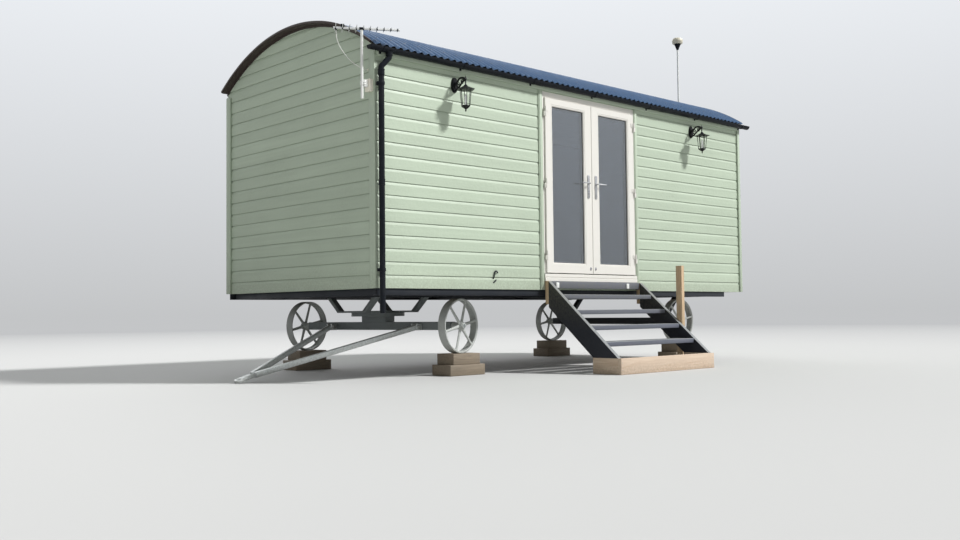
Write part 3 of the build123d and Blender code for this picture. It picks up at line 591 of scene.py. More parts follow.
def add_rod(bm, start, end, radius, end_radius=None, segments=20):
    """A round bar or a cone between two points."""
    start, end = Vector(start), Vector(end)
    along = end - start
    turn = along.to_track_quat("Z", "Y").to_matrix().to_4x4()
    bmesh.ops.create_cone(
        bm, cap_ends=True, segments=segments, radius1=radius,
        radius2=radius if end_radius is None else end_radius, depth=along.length,
        matrix=Matrix.Translation((start + end) / 2) @ turn,
    )


def add_stud(bm, foot, way, height, radius, end_radius, segments=12):
    """A short round head that stands on a point."""
    add_rod(bm, foot, foot + Vector(way) * height, radius, end_radius, segments)


def add_turned(bm, base, profile, steps=32, closed=False):
    """A turned shape: the profile's (radius, height) points spun about the base's Z axis."""
    profile = list(profile) + list(profile[:1] if closed else ())
    verts = [bm.verts.new(base @ Vector((radius, 0.0, height))) for radius, height in profile]
    edges = [bm.edges.new(pair) for pair in zip(verts, verts[1:])]
    bmesh.ops.spin(
        bm, geom=verts + edges, cent=base.translation, axis=base.to_3x3() @ Vector((0, 0, 1)),
        angle=2 * pi, steps=steps, use_merge=True, use_duplicate=False,
    )
    bmesh.ops.remove_doubles(bm, verts=bm.verts, dist=1e-5)


def add_prism(bm, outline, along):
    """A flat outline pushed along a vector."""
    face = bm.faces.new([bm.verts.new(point) for point in outline])
    pushed = bmesh.ops.extrude_face_region(bm, geom=[face])["geom"]
    moved = [item for item in pushed if isinstance(item, bmesh.types.BMVert)]
    bmesh.ops.translate(bm, verts=moved, vec=along)
    return moved


def add_rings(bm, rings, closed=False):
    """Loops of points joined one to the next, with the first and last capped or joined."""
    loops = [[bm.verts.new(point) for point in ring] for ring in rings]
    pairs = list(zip(loops, loops[1:] + loops[:1])) if closed else list(zip(loops, loops[1:]))
    for first, second in pairs:
        for near, far in zip(zip(first, first[1:] + first[:1]), zip(second, second[1:] + second[:1])):
            bm.faces.new((near[0], near[1], far[1], far[0]))
    if not closed:
        for loop in (loops[0], loops[-1]):
            bm.faces.new(loop)


def bisect(bm, place, normal):
    """Cuts new edges where a plane crosses the shape."""
    bmesh.ops.bisect_plane(
        bm, geom=bm.verts[:] + bm.edges[:] + bm.faces[:], dist=1e-7, plane_co=place, plane_no=normal,
    )


def add_hexagon(bm, centre, across, height):
    """The head of a bolt that points upwards."""
    bmesh.ops.create_cone(
        bm, cap_ends=True, segments=6, radius1=across / 2, radius2=across / 2 * 0.97, depth=height,
        matrix=Matrix.Translation(centre),
    )


def add_oval(bm, centre, half_width, half_height, depth, taper, count):
    """An oval plate that stands out from the door side and draws in at its outer face."""
    outline = [
        centre + Vector((half_width * cos(turn), 0, half_height * sin(turn)))
        for turn in full_turn(count)
    ]
    verts = add_prism(bm, outline, Vector((0, -depth, 0)))
    bmesh.ops.scale(bm, vec=taper, space=Matrix.Translation(-centre), verts=verts)


def new_curve(name, points, radius, kind="POLY", resolution=6, bevel_resolution=3):
    """A round curve in the scene that follows points given from the corner of the walls."""
    data = bpy.data.curves.new(name, "CURVE")
    data.dimensions = "3D"
    data.bevel_depth = radius
    data.bevel_resolution = bevel_resolution
    data.resolution_u = resolution
    data.use_fill_caps = True
    spline = data.splines.new(kind)
    spline.points.add(len(points) - 1)
    for item, point in zip(spline.points, points):
        item.co = (*at(*point), 1.0)
    if kind == "NURBS":
        spline.order_u = 3
        spline.use_endpoint_u = True
    curve = bpy.data.objects.new(name, data)
    bpy.context.scene.collection.objects.link(curve)
    return curve


def add_wire(bm, points, radius, kind="POLY", resolution=6):
    """A round wire that follows the points, made with a curve and turned into mesh."""
    carrier = new_curve("wire", points, radius, kind, resolution)
    data = carrier.data
    bpy.context.view_layer.update()
    mesh = bpy.data.meshes.new_from_object(carrier.evaluated_get(bpy.context.evaluated_depsgraph_get()))
    bm.from_mesh(mesh)
    bpy.data.meshes.remove(mesh)
    bpy.data.objects.remove(carrier)
    bpy.data.curves.remove(data)


def new_piece(name, bm, body, finish_name, smooth=35.0, stands_for=()):
    """Turns a bmesh into a finished piece that rides on a body."""
    bmesh.ops.remove_doubles(bm, verts=bm.verts, dist=1e-6)
    bmesh.ops.recalc_face_normals(bm, faces=bm.faces)
    mesh = bpy.data.meshes.new(name)
    bm.to_mesh(mesh)
    bm.free()
    mesh.materials.append(finish(finish_name))
    mesh.shade_smooth()
    mesh.set_sharp_from_angle(angle=radians(smooth))
    piece = bpy.data.objects.new(name, mesh)
    bpy.context.scene.collection.objects.link(piece)
    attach(piece, body)
    if stands_for:
        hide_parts(*stands_for)
    return piece


def softened(name, node, body, finish_name, width):
    """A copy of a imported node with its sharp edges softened, standing for that node."""
    bm = bmesh.new()
    bm.from_mesh(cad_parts[node].data)
    bmesh.ops.remove_doubles(bm, verts=bm.verts, dist=1e-5)
    bmesh.ops.dissolve_limit(bm, angle_limit=radians(0.5), verts=bm.verts, edges=bm.edges)
    soften_sharp(bm, width)
    return new_piece(name, bm, body, finish_name, stands_for=(node,))


# Camera and cord come first

PHOTO_CAMERA = (-4.97824, -6.59514, -0.2092)
PHOTO_YAW = 43.01
PHOTO_PITCH = 2.44
PHOTO_ROLL = -0.62
PHOTO_FOCAL_PIXELS = 986.3
PHOTO_WIDTH_PIXELS = 960
SENSOR = 36.0


class HUT_OT_camera(bpy.types.Operator):
    """Sets the camera at the photograph's viewing angle"""

    bl_idname = "hut.camera"
    bl_label = "Camera"

    def execute(self, context):
        yaw, pitch, roll = radians(PHOTO_YAW), radians(PHOTO_PITCH), radians(PHOTO_ROLL)
        ahead = Vector((sin(yaw) * cos(pitch), cos(yaw) * cos(pitch), sin(pitch)))
        right = ahead.cross(Vector((0, 0, 1))).normalized()
        up = right.cross(ahead)
        turned_right = cos(roll) * right + sin(roll) * up
        turned_up = cos(roll) * up - sin(roll) * right
        data = bpy.data.cameras.new("Photo camera")
        data.sensor_width = SENSOR
        data.lens = PHOTO_FOCAL_PIXELS * SENSOR / PHOTO_WIDTH_PIXELS
        data.clip_start = 0.05
        data.clip_end = 200.0
        camera = bpy.data.objects.new("Photo camera", data)
        turn = Matrix((turned_right, turned_up, -ahead)).transposed().to_4x4()
        camera.matrix_world = Matrix.Translation(at(*PHOTO_CAMERA)) @ turn
        context.scene.collection.objects.link(camera)
        context.scene.camera = camera
        return {"FINISHED"}


CABLE_DIAMETER = 0.007
CABLE_ROUTE = (
    (-0.288, 0.1615, 2.156),
    (-0.288, 0.1615, 2.1),
    (-0.27, 0.157, 2.04),
    (-0.23, 0.148, 1.978),
    (-0.174, 0.136, 1.921),
    (-0.114, 0.122, 1.88),
    (-0.06, 0.099, 1.854),
    (-0.016, 0.099, 1.854),
)


class HUT_OT_cable(bpy.types.Operator):
    """Hangs the aerial's cable from its socket to the gland on the end wall"""

    bl_idname = "hut.cable"
    bl_label = "Aerial cable"

    def execute(self, context):
        cable = new_curve("cable", CABLE_ROUTE, CABLE_DIAMETER / 2, "NURBS", 12, 4)
        cable.data.materials.append(finish("sheath"))
        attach(cable, "hut")
        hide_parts("aerial_cable")
        return {"FINISHED"}


# Walls


def board_outline(low, high, pitch, groove):
    """(depth, height) points of a stack of boards, each lapping over the top of the one below."""
    lip, slope_start, slope_mid, slope_end = 0.0013, 0.029, 0.024, 0.0065
    section = (
        (groove, 0.0), (0.0008, 0.0), (0.0, lip), (0.0, pitch - slope_start),
        (groove * 0.12, pitch - slope_mid), (groove * 0.8, pitch - slope_end),
        (groove, pitch - slope_end),
    )
    points = [(0.0, low)]
    for index in range(floor(low / pitch), ceil(high / pitch) + 1):
        for depth, rise in section:
            height = index * pitch + rise
            if low + 0.0005 < height < high - 0.0005:
                points.append((depth, height))
    points.append((0.0, high))
    return points


def side_wall(bm, x0, x1, y_face, y_back, low, high):
    """A stretch of long wall: boards on its outer face and a flat inner face."""
    inward = 1.0 if y_back > y_face else -1.0
    outline = board_outline(low, high, sizes().side_pitch, sizes().groove)
    loop = [at(x0, y_face + inward * depth, height) for depth, height in outline]
    loop += [at(x0, y_back, high), at(x0, y_back, low)]
    add_prism(bm, loop, Vector((x1 - x0, 0, 0)))


CORNER_LAP = 0.014


class HUT_OT_walls(bpy.types.Operator):
    """Clads the four walls with lapped boards"""

    bl_idname = "hut.walls"
    bl_label = "Walls"

    def execute(self, context):
        for node in ("front_wall_left", "front_wall_right", "front_wall_head", "front_wall_sill"):
            low, high = local_box(node)
            bm = bmesh.new()
            side_wall(bm, low.x, high.x, 0.0, WALL, low.z, high.z)
            if node == "front_wall_left":
                side_wall(bm, 0.0, WALL, 0.0, CORNER_LAP, low.z, high.z)
            if node == "front_wall_right":
                side_wall(bm, BODY_LENGTH - WALL, BODY_LENGTH, 0.0, CORNER_LAP, low.z, high.z)
            new_piece("boards_" + node[11:], bm, "hut", "side boards", 8.0, (node,))
        low, high = local_box("rear_wall")
        bm = bmesh.new()
        side_wall(bm, low.x, high.x, BODY_WIDTH, BODY_WIDTH - WALL, low.z, high.z)
        for x0, x1 in ((0.0, WALL), (BODY_LENGTH - WALL, BODY_LENGTH)):
            side_wall(bm, x0, x1, BODY_WIDTH, BODY_WIDTH - CORNER_LAP, low.z, high.z)
        new_piece("boards_rear", bm, "hut", "side boards", 8.0, ("rear_wall",))
        for node, x_face, x_back in (
            ("left_end_wall", 0.0, WALL),
            ("right_end_wall", BODY_LENGTH, BODY_LENGTH - WALL),
        ):
            self.end_wall(node, x_face, x_back)
        return {"FINISHED"}

    def end_wall(self, node, x_face, x_back):
        """An end wall: the stack of boards runs across and is cut to the roof's curve."""
        inward = 1.0 if x_back > x_face else -1.0
        y0, y1 = CORNER_LAP, BODY_WIDTH - CORNER_LAP
        outline = board_outline(0.0, CROWN + 0.02, sizes().end_pitch, sizes().groove)
        bm = bmesh.new()
        loop = [at(x_face + inward * depth, y0, height) for depth, height in outline]
        loop += [at(x_back, y0, CROWN + 0.02), at(x_back, y0, 0.0)]
        add_prism(bm, loop, Vector((0, y1 - y0, 0)))
        cuts = 72
        for count in range(1, cuts):
            bisect(bm, at(0, y0 + (y1 - y0) * count / cuts, 0), (0, 1, 0))
        for vert in bm.verts:
            vert.co.z = min(vert.co.z, corner.z + arch(vert.co.y - corner.y))
        bmesh.ops.remove_doubles(bm, verts=bm.verts, dist=2e-5)
        bmesh.ops.dissolve_degenerate(bm, edges=bm.edges, dist=2e-5)
        new_piece("boards_" + node[:-5], bm, "hut", "end boards", 8.0, (node,))


WALL_HOOK = (
    ((1.344, 0.004, 0.100), (1.346, -0.009, 0.112), (1.352, -0.010, 0.165), (1.378, -0.010, 0.174),
     (1.388, -0.010, 0.150)),
    ((1.344, 0.004, 0.062), (1.346, -0.009, 0.066), (1.358, -0.010, 0.074), (1.370, -0.008, 0.088)),
)
TRIM_WIDTH = 0.052
TRIM_RIDGE = 0.032


class HUT_OT_trims(bpy.types.Operator):
    """Softens the corner boards and fascias, and makes the door trims and the wall hook"""

    bl_idname = "hut.trims"
    bl_label = "Trims"

    def execute(self, context):
        softened("corner_boards", "corner_trims", "hut", "upright trim", 0.003)
        softened("corner_strip", "front_corner_strip", "hut", "upright trim", 0.003)
        softened("fascias", "eaves_fascias", "hut", "long trim", 0.002)
        low, high = local_box("door_trims")
        bm = bmesh.new()
        for middle in (low.x + TRIM_WIDTH / 2, high.x - TRIM_WIDTH / 2):
            for width, y, bevel in ((TRIM_WIDTH, low.y + 0.005, 0.0015), (TRIM_RIDGE, low.y, 0.003)):
                x0, x1 = middle - width / 2, middle + width / 2
                add_block(bm, at(x0, y, low.z), at(x1, high.y, high.z), bevel)
        new_piece("door_trim_boards", bm, "hut", "upright trim", stands_for=("door_trims",))
        bm = bmesh.new()
        for route in WALL_HOOK:
            add_wire(bm, route, 0.006, "NURBS", 8)
        new_piece("wall_hook", bm, "hut", "chassis")
        return {"FINISHED"}


# Roof

SHEET_LAP = 0.022
VERGE_FOOT = 0.023
DECK_BOARDS = 24
DECK_GROOVE = 0.005


def on_arch(x, grow, turn):
    """A point at a distance outside the walls' arch and at an angle from its crown."""
    radius = ARCH_RADIUS + grow
    return at(x, MIDDLE + radius * sin(turn), ARCH_CENTRE + radius * cos(turn))


def arch_reach(y, grow):
    """The angle from the crown at which the grown arch comes down to y."""
    return asin((MIDDLE - y) / (ARCH_RADIUS + grow))


class HUT_OT_roof(bpy.types.Operator):
    """Lays the corrugated sheet with its screws, the boards under it and the verges"""

    bl_idname = "hut.roof"
    bl_label = "Roof"

    def execute(self, context):
        low, high = local_box("roof_sheet")
        deck_low, deck_high = local_box("roof_deck")
        top = high.z - CROWN
        crest = top - 0.0008
        pitch, height, length = sizes().rib_pitch, sizes().rib_height, high.x - low.x
        reach, eave_reach = arch_reach(low.y, top), arch_reach(low.y - SHEET_LAP, top)
        bm = bmesh.new()
        bmesh.ops.create_grid(bm, x_segments=round(length / pitch * 10), y_segments=40, size=0.5)
        for vert in bm.verts:
            along = (vert.co.x + 0.5) * length
            turn = reach - (0.5 - vert.co.y) * (reach + eave_reach)
            wave = (cos(2 * pi * along / pitch) - 1) * height / 2
            vert.co = on_arch(low.x + along, crest + wave, turn)
        bmesh.ops.recalc_face_normals(bm, faces=bm.faces)
        if sum(face.normal.z for face in bm.faces) < 0:
            bmesh.ops.reverse_faces(bm, faces=bm.faces)
        bmesh.ops.solidify(bm, geom=bm.faces[:], thickness=0.0012)
        new_piece("roof_corrugated", bm, "hut", "roof", 80.0, ("roof_sheet",))
        self.screws(low, high, crest, reach)
        self.deck(deck_low, deck_high)
        self.verges(deck_low, deck_high, top)
        return {"FINISHED"}

    def screws(self, low, high, crest, reach):
        """Capped screws on every second rib."""
        bm = bmesh.new()
        rows, pitch = sizes().screw_rows, 2 * sizes().rib_pitch
        for row in range(rows):
            turn = (2 * row / (rows - 1) - 1) * (reach - 0.065)
            outward = Vector((0, sin(turn), cos(turn)))
            for index in range(int((high.x - low.x) / pitch) + 1):
                x = low.x + index * pitch
                if low.x + 0.03 < x < high.x - 0.03:
                    foot = on_arch(x, crest - 0.0016, turn)
                    add_stud(bm, foot, outward, 0.0012, 0.011, 0.0105, 10)
                    add_stud(bm, foot + outward * 0.0012, outward, 0.0011, 0.0075, 0.005, 6)
        new_piece("roof_screws", bm, "hut", "screw")

    def arch_band(self, bm, x0, x1, inner, outer, reach, steps=64, groove=0.0):
        """A curved band between two distances from the walls' arch, grooved at every fourth step."""
        turns = [reach * (2 * index / steps - 1) for index in range(steps + 1)]
        depths = [inner + groove * (index % 4 == 0 and 0 < index < steps) for index in range(steps + 1)]
        outline = [on_arch(x0, outer, turn) for turn in turns]
        outline += [on_arch(x0, depth, turn) for depth, turn in zip(depths[::-1], turns[::-1])]
        add_prism(bm, outline, Vector((x1 - x0, 0, 0)))

    def verges(self, deck_low, deck_high, top):
        """Narrow edge strips over the ends of the sheet, with the thin boards of the overhang."""
        low, high = local_box("roof_verges")
        reach = arch_reach(low.y, top)
        bm = bmesh.new()
        for x0, x1 in ((low.x, deck_low.x), (deck_high.x, high.x)):
            self.arch_band(bm, x0, x1, VERGE_FOOT, top, reach)
        soften_sharp(bm, 0.002)
        new_piece("verges", bm, "hut", "verge", stands_for=("roof_verges",))
        bm = bmesh.new()
        # Painted shade: these thin boards under the verges take the dark verge stain, standing for the
        # shade under the overhang as well as stain.
        for x0, x1 in ((deck_low.x, 0.0), (BODY_LENGTH, deck_high.x)):
            self.arch_band(bm, x0, x1, VERGE_FOOT - 0.003, deck_high.z - CROWN, reach)
        new_piece("overhang_boards", bm, "hut", "verge")

    def deck(self, low, high):
        """The boards that carry the sheet, grooved on the underside along the hut."""
        bm = bmesh.new()
        thickness = high.z - CROWN
        reach = arch_reach(low.y, thickness)
        self.arch_band(bm, 0.0, BODY_LENGTH, 0.0, thickness, reach, DECK_BOARDS * 4, DECK_GROOVE)
        near, far = at(WALL / 2, WALL / 2, 0), at(BODY_LENGTH - WALL / 2, BODY_WIDTH - WALL / 2, 0)
        for place, normal in ((near, (1, 0, 0)), (far, (1, 0, 0)), (near, (0, 1, 0)), (far, (0, 1, 0))):
            bisect(bm, place, normal)
        # Painted shade: outside the walls every face takes the dark verge stain, so the underside of the
        # overhang reads as shaded; only the underside indoors takes the lining.
        boards = new_piece("roof_boards", bm, "hut", "verge", stands_for=("roof_deck",))
        boards.data.materials.append(finish("lining"))
        for face in boards.data.polygons:
            indoors = near.x < face.center.x < far.x and near.y < face.center.y < far.y
            face.material_index = int(indoors and face.normal.z < 0)


# Rainwater goods

GUTTER_RADIUS = 0.038
GUTTER_WALL = 0.003
PIPE_RADIUS = 0.025
CLIP_HEIGHT = 0.028
GUTTER_BRACKETS = 7
BRACKET_INSET = 0.03


def rounded(points, radius, steps):
    """The points of a path with its corners turned into arcs."""
    points = [Vector(point) for point in points]
    path = [points[0]]
    for before, here, after in zip(points, points[1:], points[2:]):
        into, out = (here - before).normalized(), (after - here).normalized()
        half = into.angle(out) / 2
        start = here - into * radius * tan(half)
        centre = here + (out - into).normalized() * radius / cos(half)
        pole = into.cross(out).normalized()
        for index in range(steps + 1):
            turn = Matrix.Rotation(2 * half * index / steps, 3, pole)
            path.append(centre + turn @ (start - centre))
    return path + [points[-1]]


def circle_points(centre, first, second, radius, start, end, steps):
    """Points along an arc, in the plane of two unit vectors."""
    turns = [start + (end - start) * index / steps for index in range(steps + 1)]
    return [centre + first * radius * cos(turn) + second * radius * sin(turn) for turn in turns]


class HUT_OT_rainwater(bpy.types.Operator):
    """Hangs the gutter with its brackets, and the downpipe with its sockets and clips"""

    bl_idname = "hut.rainwater"
    bl_label = "Rainwater goods"

    def execute(self, context):
        low, high = local_box("gutter")
        middle = Vector((0, low.y + GUTTER_RADIUS, high.z))
        length = high.x - low.x
        bm = bmesh.new()
        self.shell(bm, low.x, length, middle, GUTTER_RADIUS, GUTTER_RADIUS - GUTTER_WALL)
        lip = at(low.x, low.y + 0.0035, high.z - 0.003)
        add_rod(bm, lip, lip + Vector((length, 0, 0)), 0.0033, segments=10)
        for x in (low.x, high.x - GUTTER_WALL):
            add_prism(bm, self.half_round(x, middle, GUTTER_RADIUS - 0.001), Vector((GUTTER_WALL, 0, 0)))
        for share in (0.36, 0.7):
            self.strap(bm, low.x + length * share, middle, 0.07, 0.0025)
        new_piece("gutter_channel", bm, "hut", "black plastic", stands_for=("gutter",))
        bm = bmesh.new()
        for index in range(GUTTER_BRACKETS):
            x = BRACKET_INSET + (BODY_LENGTH - 2 * BRACKET_INSET) * index / (GUTTER_BRACKETS - 1)
            self.strap(bm, x, middle, 0.022, 0.004)
            add_block(
                bm, at(x - 0.011, -0.024, high.z - 0.05), at(x + 0.011, -0.0195, high.z - 0.002), 0.001,
            )
        new_piece("gutter_brackets", bm, "hut", "black plastic")
        self.downpipe(middle)
        return {"FINISHED"}

    def half_round(self, x, middle, radius, start=0.0, end=pi):
        """The lower half of a circle about the gutter's middle line."""
        across, down = Vector((0, 1, 0)), Vector((0, 0, -1))
        return circle_points(at(x, middle.y, middle.z), across, down, radius, start, end, 20)

    def shell(self, bm, x, width, middle, outer, inner, start=0.0, end=pi):
        """A half-round wall between two radii."""
        outline = self.half_round(x, middle, outer, start, end)
        outline += self.half_round(x, middle, inner, start, end)[::-1]
        add_prism(bm, outline, Vector((width, 0, 0)))

    def strap(self, bm, x, middle, width, thickness):
        """A half-round strap that hugs the gutter."""
        self.shell(
            bm, x - width / 2, width, middle, GUTTER_RADIUS + thickness, GUTTER_RADIUS - 0.0005,
            0.05, pi - 0.02,
        )

    def downpipe(self, middle):
        """The outlet, swan neck and straight pipe, with a collar at each joint."""
        low, high = local_box("downpipe")
        pipe_x, outlet_x = low.x + PIPE_RADIUS, high.x - PIPE_RADIUS
        pipe_y = high.y - PIPE_RADIUS
        neck_top = middle.z - 0.078
        neck_bottom = neck_top - 0.082
        bm = bmesh.new()
        route = [
            (outlet_x, middle.y, middle.z - GUTTER_RADIUS + 0.002), (outlet_x, middle.y, neck_top),
            (pipe_x, pipe_y, neck_bottom), (pipe_x, pipe_y, low.z),
        ]
        add_wire(bm, rounded(route, 0.034, 10), PIPE_RADIUS)
        for x, y, z0, z1, grow in (
            (outlet_x, middle.y, middle.z - 0.062, middle.z - 0.03, 0.0045),
            (pipe_x, pipe_y, neck_bottom - 0.075, neck_bottom - 0.025, 0.0035),
            (pipe_x, pipe_y, 0.86, 0.91, 0.003),
        ):
            inner, outer = PIPE_RADIUS - 0.002, PIPE_RADIUS + grow
            profile = (
                (inner, z0), (outer, z0), (outer, z1 - 0.006), (outer + 0.0015, z1 - 0.006),
                (outer + 0.0015, z1), (inner, z1),
            )
            add_turned(bm, upright(x, y), profile, 28, closed=True)
        new_piece("downpipe_run", bm, "hut", "black plastic", stands_for=("downpipe",))
        self.clips(pipe_x, pipe_y)

    def clips(self, x, y):
        """Two collars on the downpipe, each with two screwed ears and a block against the wall."""
        low, high = local_box("downpipe_clips")
        bm = bmesh.new()
        for z in (low.z, high.z - CLIP_HEIGHT):
            profile = [
                (PIPE_RADIUS + grow, z + rise)
                for grow, rise in (
                    (0.0004, 0.0), (0.0035, 0.0), (0.0045, 0.004), (0.0045, 0.024), (0.0035, CLIP_HEIGHT),
                    (0.0004, CLIP_HEIGHT),
                )
            ]
            add_turned(bm, upright(x, y), profile, 28, closed=True)
            for side in (-1, 1):
                add_block(
                    bm, at(x + side * 0.026, y + 0.006, z + 0.001),
                    at(x + side * 0.0375, y + 0.017, z + 0.027), 0.0015,
                )
                screw = at(x + side * 0.032, y + 0.006, z + 0.014)
                add_stud(bm, screw, (0, -1, 0), 0.003, 0.0042, 0.0035)
            add_block(bm, at(x - 0.021, y + 0.024, z), at(x + 0.033, -0.0005, z + CLIP_HEIGHT), 0.001)
        new_piece(
            "pipe_clips", bm, "hut", "black plastic", stands_for=("downpipe_clips",)
        )


# Doorway and doors

HINGE_RADIUS = 0.009
HINGE_GAP = 0.0003
LEAF_EASE = 0.003
LEAF_MOULD = ((-0.0200, 0.0), (-0.0175, 0.003), (-0.0165, 0.0015), (-0.006, 0.0035), (0.0, 0.012))
PANE_THICKNESS = 0.004
PANE_GAP = 0.0003
PLATE_FOOT = 0.935
PLATE_TOP = 1.18
LEVER_RADIUS = 0.0065


def rectangle(low, high, inset, y):
    """The four corners of an upright rectangle, drawn in by a distance."""
    x0, x1, z0, z1 = low.x + inset, high.x - inset, low.z + inset, high.z - inset
    return [at(x0, y, z0), at(x1, y, z0), at(x1, y, z1), at(x0, y, z1)]


def stadium(x, y, z0, z1, radius):
    """A round-ended upright outline."""
    right, up = Vector((1, 0, 0)), Vector((0, 0, 1))
    top = circle_points(at(x, y, z1 - radius), right, up, radius, 0, pi, 8)
    bottom = circle_points(at(x, y, z0 + radius), right, up, radius, pi, 2 * pi, 8)
    return top + bottom


class HUT_OT_doorway(bpy.types.Operator):
    """Fits the door frame, the sill and the fixed halves of the hinges"""

    bl_idname = "hut.doorway"
    bl_label = "Doorway"

    def execute(self, context):
        softened("frame_jambs", "door_jambs", "hut", "joinery", 0.0025)
        softened("frame_head", "door_head", "hut", "joinery", 0.0025)
        low, high = local_box("door_sill")
        middle = low.z + 0.036
        bm = bmesh.new()
        section = (
            (high.y, low.z), (low.y, low.z), (low.y, middle - 0.004), (low.y + 0.003, middle - 0.001),
            (low.y + 0.010, middle), (low.y + 0.010, middle + 0.003), (low.y + 0.004, middle + 0.005),
            (low.y + 0.004, high.z - 0.006), (low.y + 0.007, high.z - 0.003), (high.y, high.z),
        )
        add_prism(bm, [at(low.x, y, z) for y, z in section], Vector((high.x - low.x, 0, 0)))
        new_piece("frame_sill", bm, "hut", "joinery", stands_for=("door_sill",))
        self.hinge_halves()
        return {"FINISHED"}

    def hinge_halves(self):
        """The lower knuckles and their plates on the jambs."""
        bm = bmesh.new()
        half = hinge_half()
        for side, z in hinge_places():
            pivot, line = hinge_line(side)
            knuckle(bm, pivot, line, z - half, z)
            foot, top, outer = z - half + 0.002, z - 0.001, pivot + side * 0.021
            add_block(bm, at(pivot, line - 0.003, foot), at(outer, line + 0.003, top), 0.001)
            add_block(bm, at(pivot + side * 0.004, line, foot), at(outer, frame_face(), top), 0.002)
            for rise in (0.25, 0.75):
                head = at(pivot + side * 0.0145, line - 0.003, z - half * rise)
                add_stud(bm, head, (0, -1, 0), 0.0015, 0.0035, 0.0028)
        new_piece("hinge_bases", bm, "hut", "joinery", stands_for=("door_hinge_plates",))


def frame_face():
    """Depth of the door frame's outer face."""
    return local_box("door_jambs")[0].y


def hinge_half():
    """Length of half a hinge."""
    return local_box("door_fittings_left")[1].z - local_box("door_hinge_plates")[1].z


def hinge_line(side):
    """Where a leaf turns: x of its pin, and depth of its pin."""
    leaf_low, leaf_high = local_box("door_leaf_left" if side < 0 else "door_leaf_right")
    edge = leaf_low.x if side < 0 else leaf_high.x
    return edge + side * 0.0025, local_box("door_hinge_plates")[0].y + HINGE_RADIUS


def hinge_places():
    """The side and the height of each of the six hinges."""
    low, high = local_box("door_hinge_plates")
    first, last = low.z + hinge_half(), high.z
    return [(side, z) for side in (-1, 1) for z in (first, (first + last) / 2, last)]


def knuckle(bm, x, y, z0, z1):
    """One barrel of a hinge with eased ends."""
    ease = 0.0015
    profile = [
        (0.0, z0), (HINGE_RADIUS - ease, z0), (HINGE_RADIUS, z0 + ease), (HINGE_RADIUS, z1 - ease),
        (HINGE_RADIUS - ease, z1), (0.0, z1),
    ]
    add_turned(bm, upright(x, y), profile, 24)


